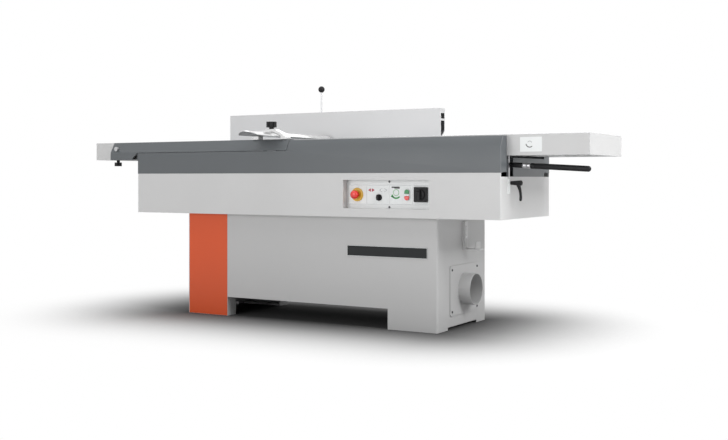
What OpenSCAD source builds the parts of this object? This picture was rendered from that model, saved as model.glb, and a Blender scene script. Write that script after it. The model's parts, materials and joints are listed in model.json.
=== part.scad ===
// Surface planer (jointer) with a floor cabinet, long tables, a tilting fence and a bridge guard.
// X runs along the tables towards the infeed end, Y from the operator to the back, Z up from the floor.

/* [Tables] */
// Height of the outfeed table top above the floor
table_h = 840; // [780:4:1010]
// Reach of each table past the casing's end
table_over = 350; // [250:10:500]
// Width of the tables
table_w = 432; // [360:2:520]
// Height of a table's side faces
table_d = 88; // [76:1:110]
// Thickness of a table's plate
table_t = 20; // [14:1:30]
// Thickness of a table's ribs and side walls
rib_t = 12; // [8:1:16]
// Step from the infeed table up to the outfeed table
infeed_step = 1; // [0.5:0.5:2]
// Travel of the infeed table below its resting height
lift_down = 7; // [4:0.5:8]

/* [Cutterblock] */
// Distance of the cutterblock's axis from the middle of the tables
cutter_off = 187; // [150:1:260]
// Diameter of the circle that the knife edges run on
knife_circle = 120; // [100:1:125]
// Number of knives
knife_n = 4; // [2:1:4]
// Radius of the cutterblock's journals
journal_r = 20; // [15:1:22]
// Gap between the knife circle and the curved table mouths
mouth_gap = 8; // [8:0.5:12]

/* [Casing] */
// Length of the casing
casing_l = 1960; // [1900:4:2400]
// Room between the tables' edges and the casing's front and rear faces
side_room = 66; // [66:1:100]
// Height of the casing's front
casing_h = 193; // [160:1:240]
// Height by which the casing's ends stay below its front
end_drop = 16; // [8:1:24]
// Thickness of the sheet metal
sheet = 3; // [2:0.5:4]
// Height of the dark aprons above the casing
apron_h = 153; // [140:1:180]
// Height of the aprons' sloping part
slope_h = 46; // [30:1:60]
// Depth by which the aprons slope back
slope_d = 26; // [15:1:32]
// Height of the table edge that stays in sight above the aprons
table_strip = 7; // [4:1:12]

/* [Base] */
// Length of the base cabinet
base_l = 1360; // [1250:10:1632]
// Distance by which the cabinet stands back from the casing's front and rear
base_back = 32; // [10:1:40]
// Width of a foot
foot_w = 242; // [180:2:280]
// Height of the opening between the feet
foot_h = 90; // [75:1:100]
// Depth of the returns inside the feet
foot_return = 65; // [30:1:90]
// Radius of the cabinet's vertical bends
bend_r = 9; // [6:0.5:14]
// Radius of an anchor hole in the feet
anchor_r = 7; // [5:0.5:9]

/* [Dust port] */
// Outer diameter of the extraction spigot
spigot_d = 140; // [100:5:150]
// Length of the spigot outside its plate
spigot_l = 60; // [40:1:90]
// Width of the port plate
port_w = 298; // [240:2:320]
// Height of the port plate
port_h = 218; // [180:2:240]
// Height of the spigot's axis above the floor
port_z = 167; // [140:1:190]

/* [Controls] */
// Width of the recess for the controls
recess_w = 425; // [425:1:480]
// Height of the recess
recess_h = 125; // [110:1:140]
// Depth of the recess
recess_d = 34; // [25:1:45]
// Distance of the recess's left edge from the middle of the tables
recess_x = 229; // [150:1:300]

/* [Guard] */
// Width of the bridge guard
guard_w = 123; // [100:1:140]
// Height of the guard's crown
guard_crown = 20; // [15:1:25]
// Height of the guard's underside above the table
guard_lift = 12; // [8:1:20]
// Reach of the guard's nose in front of the casing
guard_nose = 171; // [140:1:240]
// Gap between the guard and the fence
guard_gap = 13; // [8:1:20]
// Reach of the arm past the casing's left end
arm_over = 186; // [180:1:200]
// Reach of the arm past the cutterblock's axis
arm_past = 111; // [105:1:140]

/* [Fence] */
// Length of the fence
fence_l = 1250; // [1000:10:1500]
// Height of the fence
fence_h = 150; // [125:1:180]
// Thickness of the fence profile
fence_t = 45; // [40:1:50]
// Distance of the fence's middle from the middle of the tables
fence_off = 159; // [100:1:200]
// Travel of the fence across the tables
fence_travel = 330; // [200:5:360]
// Diameter of the fence's guide bar
bar_d = 40; // [30:1:44]

/* [Fits] */
// Radial clearance of running fits
run_c = 0.05; // [0.02:0.01:0.1]
// Clearance between faces that slide past each other
face_c = 0.3; // [0.3:0.1:0.6]
// Clearance of moving covers and loose passages
free_c = 2; // [1:0.5:4]

/* [Hidden] */

light_paint = [0.78, 0.78, 0.78];
cabinet_paint = [0.70, 0.70, 0.70];
dark_paint = [0.40, 0.42, 0.43];
orange_paint = [0.80, 0.35, 0.20];
black_plastic = [0.13, 0.13, 0.14];
steel = [0.66, 0.67, 0.68];
cast = [0.74, 0.75, 0.75];
alloy = [0.82, 0.83, 0.84];
white = [0.93, 0.93, 0.93];

// Overall lengths and depths
tables_l = casing_l + 2 * table_over;
casing_w = table_w + 2 * side_room;
base_w = casing_w - 2 * base_back;
guard_reach = casing_w / 2 + guard_nose;

// Fence carriage and guide bar, as distances behind the fence's face
hinge_back = 30;
carriage_back = 95;
carriage_l = 60;
bracket_gap = 5;
bracket_l = 80;
bar_spare = 14;
bracket_back = carriage_back + carriage_l + bracket_gap;
bar_reach = table_w / 2 + bracket_back + bracket_l + fence_travel + bar_spare;

// Lines across the machine; the middle of the tables lies in front of the middle of the whole reach
mid_y = (guard_reach - bar_reach) / 2;
front_y = mid_y - casing_w / 2;
rear_y = mid_y + casing_w / 2;
table_y0 = mid_y - table_w / 2;
table_y1 = mid_y + table_w / 2;
base_y0 = mid_y - base_w / 2;
base_y1 = mid_y + base_w / 2;
fence_y = table_y1;
bar_end_y = mid_y + bar_reach;

// Heights
base_h = table_h - table_strip - apron_h - casing_h;
casing_top = base_h + casing_h;
end_top = casing_top - end_drop;
apron_top = casing_top + apron_h;
apron_bend = apron_top - slope_h;
table_z0 = table_h - table_d;
infeed_top = table_h - infeed_step;
infeed_z0 = table_z0 - infeed_step;
floor_z1 = base_h + sheet;

// Cutterblock
cut_x = -cutter_off;
cut_z = table_h - knife_circle / 2;
mouth_r = knife_circle / 2 + mouth_gap;
block_r = knife_circle / 2 - 4;
block_l = table_w - 2;
wall_gap = 3;
pedestal_t = 24;
pedestal_y = table_w / 2 + wall_gap;
pulley_y0 = mid_y + pedestal_y + pedestal_t + wall_gap;
pulley_w = 16;
cutter_pulley_r = apron_top - 21 - cut_z;

// Motor
motor_x = cut_x + 250;
motor_r = 82;
motor_z = floor_z1 + 15 + motor_r;
motor_shaft_r = 14;
motor_pulley_r = 52;

// Bed
beam_t = 12;
beam_y = table_w / 2 - rib_t - 14 - beam_t / 2;
beam_h = 205;
beam_x1 = casing_l / 2 - 80;
beam_x0 = -beam_x1;
post_x = cut_x - 173;

// Infeed lift
lift_x1 = casing_l / 2 - 250;
lift_x2 = lift_x1 - 420;
roller_r = 23.1;
lift_z = infeed_z0 - face_c - roller_r;
crank = 50;
lift_shaft_r = 15;
rib_y = beam_y - 59;
rod_drop = 60;
rod_pin_r = 8;
lever_y = mid_y - beam_y + beam_t / 2 + 11;
lever_r = 10;
grip_r = 12;
lever_tilt = 3.2;
lever_reach = tables_l / 2 - 10 - lift_x1;
grip_from = 336;
slot_w = 37;

// Guard arm
arm_t = 3;
arm_lift = 2;
arm_bottom = apron_bend - 4 + arm_lift;
arm_top = table_h - 2;
arm_tail = table_z0 - 3;
arm_end = casing_l / 2 + arm_over;
arm_right = cutter_off - arm_past;
arm_pivot_x = -arm_end + 40;
arm_knob_x = -arm_end + 23;
arm_knob_y = front_y + 32;
arm_pivot_z = table_h - 34;
pivot_r = 8;
arm_slope_top = front_y + slope_d * (arm_top - apron_bend) / slope_h;
arm_back = table_y0 - 4;
holder_l = 38;
holder_y = table_y0 - 6 - holder_l;
holder_leg = 35;
holder_gap = 1;
holder_h = 48;
guard_z = table_h + guard_lift;
guard_t = 4;

// Fence
fence_x0 = -fence_off - fence_l / 2;
fence_z0 = table_h + 1;
fence_edge = 4;
hinge_y = fence_y + hinge_back;
hinge_z = table_h + 12;
hinge_pin_r = 6;
eye_r = 10.3;
tongue_w = 100;
lug_w = 30;
bar_z = table_h + 28;
carriage_y = fence_y + carriage_back;
clamp_x = -fence_off - 85;
clamp_y = fence_y + fence_t + 18;
clamp_z = table_h + 90;
clamp_l = 183;
ball_r = 16.5;
clamp_pin_r = 4;

// Right end of the casing
lock_y = lever_y - 8;
lock_z = casing_top - 42;
lock_r = 5;
pointer_y = table_y0 + 11;

// Port
port_y = mid_y + 15;
port_t = 4;
port_screw_in = 18;
chute_w = 180;
chute_half = beam_y - beam_t / 2 - free_c;

// A flat shape in Y and Z, drawn out along X
module along_x(x0, x1) {
    translate([x0, 0, 0]) rotate([90, 0, 90]) linear_extrude(x1 - x0) children();
}

// A flat shape in X and Z, drawn out along Y
module along_y(y0, y1) {
    translate([0, y1, 0]) rotate([90, 0, 0]) linear_extrude(y1 - y0) children();
}

// A round bar along X, Y or Z
module rod_x(x0, x1, y, z, r) {
    along_x(x0, x1) translate([y, z]) circle(r = r, $fn = 64);
}

module rod_y(y0, y1, x, z, r) {
    along_y(y0, y1) translate([x, z]) circle(r = r, $fn = 64);
}

module rod_z(z0, z1, x, y, r) {
    translate([x, y, z0]) cylinder(h = z1 - z0, r = r, $fn = 64);
}

// A box from one corner to the opposite one
module block(a, b) {
    translate(a) cube(b - a);
}

// A rectangle with round corners, from one corner to the opposite one
module round_rect(a, b, r) {
    translate([a[0] + r, a[1]]) square([b[0] - a[0] - 2 * r, b[1] - a[1]]);
    translate([a[0], a[1] + r]) square([b[0] - a[0], b[1] - a[1] - 2 * r]);
    for (x = [a[0] + r, b[0] - r], y = [a[1] + r, b[1] - r]) translate([x, y]) circle(r = r, $fn = 48);
}

// The outline of a sheet-metal box seen from above, as a closed band
module band(half_len, y0, y1, r) {
    difference() {
        round_rect([-half_len, y0], [half_len, y1], r);
        round_rect([-half_len + sheet, y0 + sheet], [half_len - sheet, y1 - sheet], r - sheet);
    }
}

// ---------------------------------------------------------------- base cabinet

foot_x = base_l / 2 - foot_w;
notch_y = 150;
notch_h = 12;
anchor_in = 95;
anchor_y_in = 38;

module base_panel(y0, y1, inner, outer) {
    // inner is the side of the panel that faces the cabinet's inside
    side = inner > outer ? 1 : -1;
    difference() {
        linear_extrude(base_h) intersection() {
            band(base_l / 2, base_y0, base_y1, bend_r);
            translate([-base_l / 2, y0]) square([base_l, y1 - y0]);
        }
        block([-foot_x, y0 - 1, -1], [foot_x, y1 + 1, foot_h]);
    }
    for (x = [-foot_x - sheet, foot_x])
        block([x, min(outer + side * sheet, outer + side * foot_return), 0],
            [x + sheet, max(outer + side * sheet, outer + side * foot_return), foot_h + 20]);
    difference() {
        union() for (s = [-1, 1])
            block([s > 0 ? foot_x + sheet : -base_l / 2 + sheet + bend_r,
                    min(outer + side * sheet, outer + side * foot_return), 0],
                [s > 0 ? base_l / 2 - sheet - bend_r : -foot_x - sheet,
                    max(outer + side * sheet, outer + side * foot_return), 8]);
        for (s = [-1, 1])
            rod_z(-1, 9, s * (base_l / 2 - anchor_in), outer + side * anchor_y_in, anchor_r);
    }
    block([-foot_x + sheet / 2, min(outer + side * sheet, outer + side * 20), foot_h],
        [foot_x - sheet / 2, max(outer + side * sheet, outer + side * 20), foot_h + sheet]);
}

module base_front() color(cabinet_paint) base_panel(base_y0, base_y0 + bend_r, base_y0 + 1, base_y0);

module base_rear() color(cabinet_paint) base_panel(base_y1 - bend_r, base_y1, base_y1 - 1, base_y1);

module base_ends() color(cabinet_paint) for (s = [-1, 1]) difference() {
    linear_extrude(base_h) intersection() {
        band(base_l / 2, base_y0, base_y1, bend_r);
        translate([s > 0 ? 0 : -base_l / 2, base_y0 + bend_r]) square([base_l / 2, base_w - 2 * bend_r]);
    }
    block([s * base_l / 2 - 10, mid_y - notch_y, -1], [s * base_l / 2 + 10, mid_y + notch_y, notch_h]);
    if (s > 0) rod_x(base_l / 2 - 10, base_l / 2 + 10, port_y, port_z, spigot_d / 2 - 1);
}

module accent_panel() color(orange_paint)
    block([-base_l / 2 + bend_r, base_y0 - 1.5, 1], [-foot_x - 1, base_y0, base_h - 1]);

nameplate_l = 400;
nameplate_h = 48;
nameplate_x = base_l / 2 - 48 - nameplate_l;
nameplate_z = base_h - 126 - nameplate_h;

module blank_nameplate() color(dark_paint) along_y(base_y0 - 2, base_y0)
    round_rect([nameplate_x, nameplate_z], [nameplate_x + nameplate_l, nameplate_z + nameplate_h], 3);

module dust_port() color(cabinet_paint) {
    x0 = base_l / 2;
    difference() {
        union() {
            along_x(x0, x0 + port_t)
                round_rect([port_y - port_w / 2, port_z - port_h / 2],
                    [port_y + port_w / 2, port_z + port_h / 2], 12);
            rod_x(x0, x0 + spigot_l, port_y, port_z, spigot_d / 2);
        }
        rod_x(x0 - 1, x0 + spigot_l + 1, port_y, port_z, spigot_d / 2 - 2);
        for (p = port_screw_points()) rod_x(x0 - 1, x0 + port_t + 1, p[0], p[1], 3);
    }
}

function port_screw_points() = [for (s = [-1, 1], t = [-1, 1])
    [port_y + s * (port_w / 2 - port_screw_in), port_z + t * (port_h / 2 - port_screw_in)]];

plate_y = front_y + recess_d;
recess_z0 = casing_top - 30 - recess_h;
recess_mid_z = recess_z0 + recess_h / 2;
plate_screw_x = recess_x + 217;

module panel_screws() color(steel) {
    for (p = port_screw_points()) {
        rod_x(base_l / 2 + port_t, base_l / 2 + port_t + 3, p[0], p[1], 5.5);
        rod_x(base_l / 2, base_l / 2 + port_t + 1, p[0], p[1], 3 - run_c);
    }
    for (z = [recess_z0 + 7, recess_z0 + recess_h - 7]) rod_y(plate_y - 2.5, plate_y, plate_screw_x, z, 4);
}

hook_y = mid_y + 20;
hook_w = 50;
hook_z0 = base_h - 147;
hook_h = 125;
hook_reach = 85;
hook_lip = 62;
hook_t = 5;

module hook_bracket() color(light_paint) {
    x0 = base_l / 2;
    difference() {
        block([x0, hook_y - hook_w / 2, hook_z0], [x0 + hook_t, hook_y + hook_w / 2, hook_z0 + hook_h]);
        for (z = hook_bolt_z()) rod_x(x0 - 1, x0 + hook_t + 1, hook_y, z, 5);
    }
    block([x0 + hook_t, hook_y - hook_w / 2, hook_z0],
        [x0 + 16, hook_y - hook_w / 2 + hook_t, hook_z0 + hook_h]);
    block([x0 + hook_t, hook_y - hook_w / 2 + hook_t, hook_z0],
        [x0 + hook_reach, hook_y + hook_w / 2, hook_z0 + hook_t]);
    block([x0 + hook_lip, hook_y - hook_w / 2 + hook_t, hook_z0 + hook_t],
        [x0 + hook_lip + hook_t, hook_y + hook_w / 2, hook_z0 + 36]);
}

function hook_bolt_z() = [hook_z0 + hook_h - 68, hook_z0 + hook_h - 28];

module hook_bolts() color(steel) for (z = hook_bolt_z()) {
    rod_x(base_l / 2, base_l / 2 + hook_t, hook_y, z, 5 - run_c);
    translate([base_l / 2 + hook_t, hook_y, z]) rotate([0, 90, 0]) cylinder(h = 7, r = 9, $fn = 6);
}

// ---------------------------------------------------------------- casing

casing_r = 5;
tray_t = 2;

module casing_part(z1, y0, y1) {
    translate([0, 0, base_h]) linear_extrude(z1 - base_h) intersection() {
        band(casing_l / 2, front_y, rear_y, casing_r);
        translate([-casing_l / 2, y0]) square([casing_l, y1 - y0]);
    }
}

module casing_front() color(light_paint) {
    difference() {
        casing_part(casing_top, front_y, front_y + casing_r);
        block([recess_x, front_y - 1, recess_z0], [recess_x + recess_w, front_y + 20, recess_z0 + recess_h]);
    }
    difference() {
        block([recess_x - tray_t, front_y + sheet, recess_z0 - tray_t],
            [recess_x + recess_w + tray_t, plate_y + tray_t, recess_z0 + recess_h + tray_t]);
        block([recess_x, front_y, recess_z0],
            [recess_x + recess_w, plate_y + tray_t + 1, recess_z0 + recess_h]);
    }
}

module casing_rear() color(light_paint) casing_part(casing_top, rear_y - casing_r, rear_y);

module casing_ends() color(light_paint) difference() {
    casing_part(end_top, front_y + casing_r, rear_y - casing_r);
    rod_x(casing_l / 2 - 10, casing_l / 2 + 10, lock_y, lock_z, lock_r + run_c);
}

module casing_floor() color(light_paint) difference() {
    block([-casing_l / 2 + sheet, front_y + sheet, base_h], [casing_l / 2 - sheet, rear_y - sheet, floor_z1]);
    block([cut_x - chute_w / 2 - face_c, mid_y - chute_half - face_c, base_h - 1],
        [cut_x + chute_w / 2 + face_c, mid_y + chute_half + face_c, floor_z1 + 1]);
    for (s = [-1, 1], t = [-1, 1])
        block([s * casing_l / 2 - 10, mid_y + t * casing_w / 2 - 10, base_h - 1],
            [s * casing_l / 2 + 10, mid_y + t * casing_w / 2 + 10, floor_z1 + 1]);
}

// The aprons' section, as distances behind the casing's face and heights
module apron_section(top) {
    polygon([[0, casing_top], [0, apron_bend], [slope_d * (top - apron_bend) / slope_h, top],
        [slope_d * (top - apron_bend) / slope_h + sheet, top], [sheet, apron_bend], [sheet, casing_top]]);
}

module apron_end_section(top) {
    polygon([[sheet, casing_top + sheet], [sheet, apron_bend], [slope_d + sheet, top],
        [casing_w / 2 - table_w / 2 - free_c, top], [casing_w / 2 - table_w / 2 - free_c, casing_top + sheet]]);
}

apron_low = apron_bend - 4;
apron_lip = 18;

module front_apron() color(dark_paint) {
    difference() {
        along_x(-casing_l / 2, casing_l / 2) translate([front_y, 0]) apron_section(apron_top);
        block([-casing_l / 2 - 1, front_y - 1, apron_low], [-arm_right + free_c, front_y + 80, apron_top + 1]);
    }
    along_x(casing_l / 2 - sheet, casing_l / 2) translate([front_y, 0]) apron_end_section(apron_top);
    intersection() {
        along_x(-casing_l / 2, -casing_l / 2 + sheet) translate([front_y, 0]) apron_end_section(apron_top);
        block([-casing_l, front_y, 0], [0, mid_y, apron_low]);
    }
    block([-casing_l / 2, front_y + sheet, casing_top],
        [casing_l / 2, front_y + apron_lip, casing_top + sheet]);
}

module rear_apron() color(dark_paint) translate([0, 2 * mid_y, 0]) mirror([0, 1, 0]) {
    along_x(-casing_l / 2, casing_l / 2) translate([front_y, 0]) apron_section(apron_top);
    for (x = [-casing_l / 2, casing_l / 2 - sheet])
        along_x(x, x + sheet) translate([front_y, 0]) apron_end_section(apron_top);
    block([-casing_l / 2, front_y + sheet, casing_top],
        [casing_l / 2, front_y + apron_lip, casing_top + sheet]);
}

cover_y = table_w / 2;

module end_covers() color(dark_paint) {
    block([-casing_l / 2, mid_y - cover_y, end_top], [-casing_l / 2 + sheet, mid_y + cover_y, table_z0 - 2]);
    difference() {
        block([casing_l / 2 - sheet, mid_y - cover_y, end_top],
            [casing_l / 2, mid_y + cover_y, infeed_z0 - lift_down - 1]);
        block([casing_l / 2 - 10, lever_y - slot_w / 2, end_top + 1],
            [casing_l / 2 + 10, lever_y + slot_w / 2, table_h]);
    }
}

// ---------------------------------------------------------------- controls

stop_x = recess_x + 55;
stop_z = recess_mid_z - 2;
stop_stem_r = 11;
collar_r = 30;
selector_x = recess_x + 166;
selector_z = recess_mid_z - 14;
selector_stem_r = 8;
buttons_x = recess_x + 305;
start_z = stop_z + 12.5;
halt_z = stop_z - 12.5;
switch_x = recess_x + 372;
switch_w = 64;
button_r = 11;
plate_t = 2;

// Holes through the control plate and its labels
module control_holes(stop_r) {
    for (z = [start_z, halt_z]) rod_y(plate_y - 2, plate_y + 5, buttons_x, z, button_r + face_c);
    rod_y(plate_y - 2, plate_y + 5, stop_x, stop_z, stop_r + face_c);
    rod_y(plate_y - 2, plate_y + 5, selector_x, selector_z, selector_stem_r + face_c);
}

module control_plate() color(white) difference() {
    along_y(plate_y, plate_y + plate_t)
        round_rect([recess_x, recess_z0], [recess_x + recess_w, recess_z0 + recess_h], 8);
    control_holes(stop_stem_r);
}

module control_labels() color(white) difference() {
    for (x = [[12, 100], [105, 214], [220, 328], [336, 420]])
        block([recess_x + x[0], plate_y - 0.6, recess_mid_z - 44],
            [recess_x + x[1], plate_y, recess_mid_z + 40]);
    control_holes(collar_r);
    block([switch_x - switch_w / 2 - face_c, plate_y - 2, recess_mid_z - switch_w / 2 - face_c],
        [switch_x + switch_w / 2 + face_c, plate_y + 5, recess_mid_z + switch_w / 2 + face_c]);
}

module stop_collar() color([0.85, 0.68, 0.15]) difference() {
    rod_y(plate_y - 6, plate_y, stop_x, stop_z, collar_r);
    rod_y(plate_y - 7, plate_y + 1, stop_x, stop_z, stop_stem_r + face_c);
}

module stop_mushroom() color([0.85, 0.12, 0.10]) translate([stop_x, plate_y, stop_z]) rotate([90, 0, 0])
    rotate_extrude($fn = 64) polygon([[0, -22], [stop_stem_r, -22], [stop_stem_r, 18], [19, 22], [19.5, 30],
        [16, 36], [8, 39], [0, 40]]);

module selector_knob() color(black_plastic) {
    rod_y(plate_y - 6, plate_y - 0.8, selector_x, selector_z, 14);
    rod_y(plate_y - 0.8, plate_y + 20, selector_x, selector_z, selector_stem_r);
    block([selector_x - 4, plate_y - 20, selector_z - 12], [selector_x + 4, plate_y - 6, selector_z + 12]);
}

module push_button(z) {
    rod_y(plate_y - 9, plate_y + 20, buttons_x, z, button_r);
}

module start_button() color([0.10, 0.50, 0.22]) push_button(start_z);

module halt_button() color([0.80, 0.16, 0.14]) push_button(halt_z);

module main_switch_body() color(black_plastic) difference() {
    along_y(plate_y - 10, plate_y) round_rect([switch_x - switch_w / 2, recess_mid_z - switch_w / 2],
        [switch_x + switch_w / 2, recess_mid_z + switch_w / 2], 4);
    rod_y(plate_y - 11, plate_y + 1, switch_x, recess_mid_z, 9 + run_c);
}

module main_switch_knob() color(black_plastic) {
    rod_y(plate_y - 16, plate_y - 10 - face_c, switch_x, recess_mid_z, 22);
    rod_y(plate_y - 12, plate_y, switch_x, recess_mid_z, 9);
    block([switch_x - 6, plate_y - 30, recess_mid_z - 22], [switch_x + 6, plate_y - 16, recess_mid_z + 22]);
}

// ---------------------------------------------------------------- tables

// The three rows of bays under a table, between its side walls and its two long ribs
bay_rows = [
    [table_y0 + rib_t, mid_y - rib_y - rib_t / 2],
    [mid_y - rib_y + rib_t / 2, mid_y + rib_y - rib_t / 2],
    [mid_y + rib_y + rib_t / 2, table_y1 - rib_t]];

module table_box(x0, x1, top) {
    z0 = top - table_d;
    bay = 200;
    bays = floor((x1 - x0 - 2 * rib_t) / bay);
    pitch = (x1 - x0 - rib_t) / bays;
    difference() {
        block([x0, table_y0, z0], [x1, table_y1, top]);
        for (i = [0 : bays - 1], row = bay_rows)
            block([x0 + rib_t + i * pitch, row[0], z0 - 1], [x0 + (i + 1) * pitch, row[1], top - table_t]);
        children();
    }
}

mouth_post = 120;

module outfeed_table() color(cast) table_box(-tables_l / 2, cut_x, table_h) {
    rod_y(table_y0 - 1, table_y1 + 1, cut_x, cut_z, mouth_r);
    block([cut_x - mouth_post, table_y0 - 1, 0], [cut_x + 1, table_y1 + 1, cut_z - 12]);
    rod_y(table_y0 - 1, table_y0 + rib_t + 1, arm_pivot_x, arm_pivot_z, pivot_r + run_c);
}

module infeed_table() color(cast) difference() {
    table_box(cut_x, tables_l / 2, infeed_top) {
        rod_y(table_y0 - 1, table_y1 + 1, cut_x, cut_z, mouth_r);
        block([cut_x - 1, table_y0 - 1, 0], [cut_x + mouth_post, table_y1 + 1, cut_z - 12]);
    }
    // room for the lift shafts' bearings, the lever and the cranks through the cross ribs
    for (x = [lift_x1, lift_x2])
        block([x - 70, table_y0 + rib_t, 0], [x + 36, mid_y - rib_y - rib_t / 2, infeed_top - table_t]);
    for (x = [lift_x1, lift_x2])
        block([x - 70, mid_y + rib_y + rib_t / 2, 0], [x + 36, table_y1 - rib_t, infeed_top - table_t]);
}

label_l = 94;
label_h = 60;
label_x = casing_l / 2 + 57;
label_z = infeed_top - 13 - label_h;

module table_label() color(white) along_y(table_y0 - 1, table_y0)
    round_rect([label_x, label_z], [label_x + label_l, label_z + label_h], 2);

module depth_scale() color(white)
    block([casing_l / 2, pointer_y - 7, end_top - 70], [casing_l / 2 + 1, pointer_y + 20, end_top - 11]);

module depth_pointer() color(steel) {
    block([casing_l / 2 + 2, pointer_y - 6, end_top - 1], [casing_l / 2 + 5, pointer_y + 6, infeed_z0]);
}

// ---------------------------------------------------------------- infeed lift

module crank_shaft(x) {
    rod_y(mid_y - beam_y - 10, mid_y + beam_y + 10, x, lift_z, lift_shaft_r);
    for (s = [-1, 1]) {
        y = mid_y + s * (rib_y - 13);
        block([x, y - 6, lift_z - 13], [x + crank, y + 6, lift_z + 13]);
        rod_y(y - 6, y + 6, x + crank, lift_z, 14);
        rod_y(min(y, mid_y + s * (rib_y + 6)), max(y, mid_y + s * (rib_y + 6)), x + crank, lift_z, roller_r);
    }
    block([x - 13, mid_y - 6, lift_z - rod_drop], [x + 13, mid_y + 6, lift_z]);
    rod_y(mid_y - 6, mid_y + 6, x, lift_z - rod_drop, 13);
    rod_y(mid_y - 20, mid_y, x, lift_z - rod_drop, rod_pin_r);
}

module lift_shaft_lever_side() color(steel) crank_shaft(lift_x1);

module lift_shaft_cutter_side() color(steel) crank_shaft(lift_x2);

module lift_rod() color(steel) difference() {
    block([lift_x2 - 16, mid_y - 20, lift_z - rod_drop - 16],
        [lift_x1 + 16, mid_y - 7, lift_z - rod_drop + 16]);
    for (x = [lift_x1, lift_x2]) {
        for (z = [0, 1.2]) rod_y(mid_y - 21, mid_y, x, lift_z - rod_drop + z, rod_pin_r + 0.1);
        block([x - rod_pin_r - 0.1, mid_y - 21, lift_z - rod_drop],
            [x + rod_pin_r + 0.1, mid_y, lift_z - rod_drop + 1.2]);
    }
}

module on_lever() {
    translate([lift_x1, lever_y, lift_z]) rotate([0, lever_tilt, 0]) children();
}

module lift_lever() color(black_plastic) on_lever() {
    difference() {
        union() {
            rod_y(-10, 10, 0, 0, lift_shaft_r + 9);
            rod_x(20, grip_from - 36, 0, 0, lever_r);
            rod_x(grip_from - 36, grip_from, 0, 0, lever_r + 1);
            rod_x(grip_from, lever_reach - 10, 0, 0, 6);
        }
        rod_y(-11, 11, 0, 0, lift_shaft_r + run_c);
    }
}

module lever_grip() color(black_plastic) on_lever() difference() {
    rod_x(grip_from, lever_reach, 0, 0, grip_r);
    rod_x(grip_from - 1, lever_reach - 10, 0, 0, 6 + run_c);
}

module lock_lever() color(black_plastic) {
    x0 = casing_l / 2;
    rod_x(x0 - 14, x0 + 2, lock_y, lock_z, lock_r);
    rod_x(x0 + 0.4, x0 + 12, lock_y, lock_z, 8);
    rod_x(x0 + 11, x0 + 50, lock_y, lock_z, 11);
    translate([x0 + 33, lock_y, lock_z]) rotate([0, 172, 0]) cylinder(h = 75, r = 6, $fn = 48);
}

// ---------------------------------------------------------------- guard

module guard_arm() color(dark_paint) {
    tail_x = -casing_l / 2 - 5;
    difference() {
        union() {
            // long cover above the apron
            along_x(-arm_end, -arm_right) translate([front_y, 0]) polygon([
                [0, arm_bottom], [0, apron_bend], [arm_slope_top - front_y, arm_top],
                [arm_back - front_y, arm_top], [arm_back - front_y, arm_top - arm_t],
                [arm_slope_top - front_y + arm_t, arm_top - arm_t], [arm_t, apron_bend], [arm_t, arm_bottom]]);
            // deep part at the end, with its end wall
            block([-arm_end, front_y, arm_tail], [tail_x, front_y + arm_t, apron_bend]);
            along_x(-arm_end, -arm_end + arm_t) translate([front_y, 0]) arm_wall();
            along_x(tail_x - arm_t, tail_x) translate([front_y, 0]) arm_wall();
            block([-arm_end, front_y, arm_tail], [tail_x, arm_back, arm_tail + arm_t]);
            // boss of the pivot
            rod_y(front_y + 20, arm_back, arm_pivot_x, arm_pivot_z, pivot_r + 6);
        }
        rod_y(front_y, arm_back + 1, arm_pivot_x, arm_pivot_z, pivot_r + run_c);
        rod_z(arm_tail - 1, arm_tail + arm_t + 1, arm_knob_x, arm_knob_y, 5 + run_c);
        // slanting end of the deep part
        along_y(front_y - 1, front_y + arm_t) polygon([[tail_x + 1, arm_tail - 1], [tail_x - 32, arm_tail - 1],
            [tail_x - 32, arm_tail + 8], [tail_x + 1, arm_tail + 36]]);
    }
}

module arm_wall() {
    polygon([[0, arm_tail], [0, apron_bend], [arm_slope_top - front_y, arm_top],
        [arm_back - front_y, arm_top], [arm_back - front_y, arm_tail]]);
}

module arm_pivot_bolt() color(steel) {
    rod_y(front_y + 16, table_y0 + rib_t, arm_pivot_x, arm_pivot_z, pivot_r);
    rod_y(front_y + 2, front_y + 16, arm_pivot_x, arm_pivot_z, pivot_r - 0.5);
    rod_y(front_y - 4, front_y + 2, arm_pivot_x, arm_pivot_z, pivot_r + 3);
}

module star(z0, h, r, n) {
    lobe = r * 0.34;
    translate([0, 0, z0]) cylinder(h = h, r = r - lobe, $fn = 48);
    for (i = [0 : n - 1])
        rotate([0, 0, i * 360 / n]) translate([r - lobe, 0, z0]) cylinder(h = h, r = lobe, $fn = 32);
}

module arm_knob() color(black_plastic) translate([arm_knob_x, arm_knob_y, 0]) {
    star(arm_tail - 30, 19, 19, 5);
    rod_z(arm_tail - 11, arm_tail - 0.4, 0, 0, 8);
    rod_z(arm_tail - 12, arm_tail + 12, 0, 0, 5);
}

holder_top = arm_top + holder_h;

module holder_section() {
    w = guard_w / 2 + holder_gap;
    difference() {
        polygon([[-w - holder_leg, arm_top], [-w - holder_leg, arm_top + 8],
            [-w - 4, guard_z + guard_crown - 4], [-26, holder_top], [26, holder_top],
            [w + 4, guard_z + guard_crown - 4],
            [w + holder_leg, arm_top + 8], [w + holder_leg, arm_top]]);
        polygon([[-w, arm_top - 1], [-w, guard_z + 2], [-w * 0.6, guard_z + guard_crown * 0.68 + holder_gap],
            [-w * 0.25, guard_z + guard_crown + holder_gap], [w * 0.25, guard_z + guard_crown + holder_gap],
            [w * 0.6, guard_z + guard_crown * 0.68 + holder_gap], [w, guard_z + 2], [w, arm_top - 1]]);
    }
}

module guard_holder() color(alloy) difference() {
    along_y(holder_y, holder_y + holder_l) translate([cut_x, 0]) holder_section();
    rod_z(arm_top, holder_top + 1, cut_x, holder_y + holder_l / 2, 6 + run_c);
}

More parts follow.
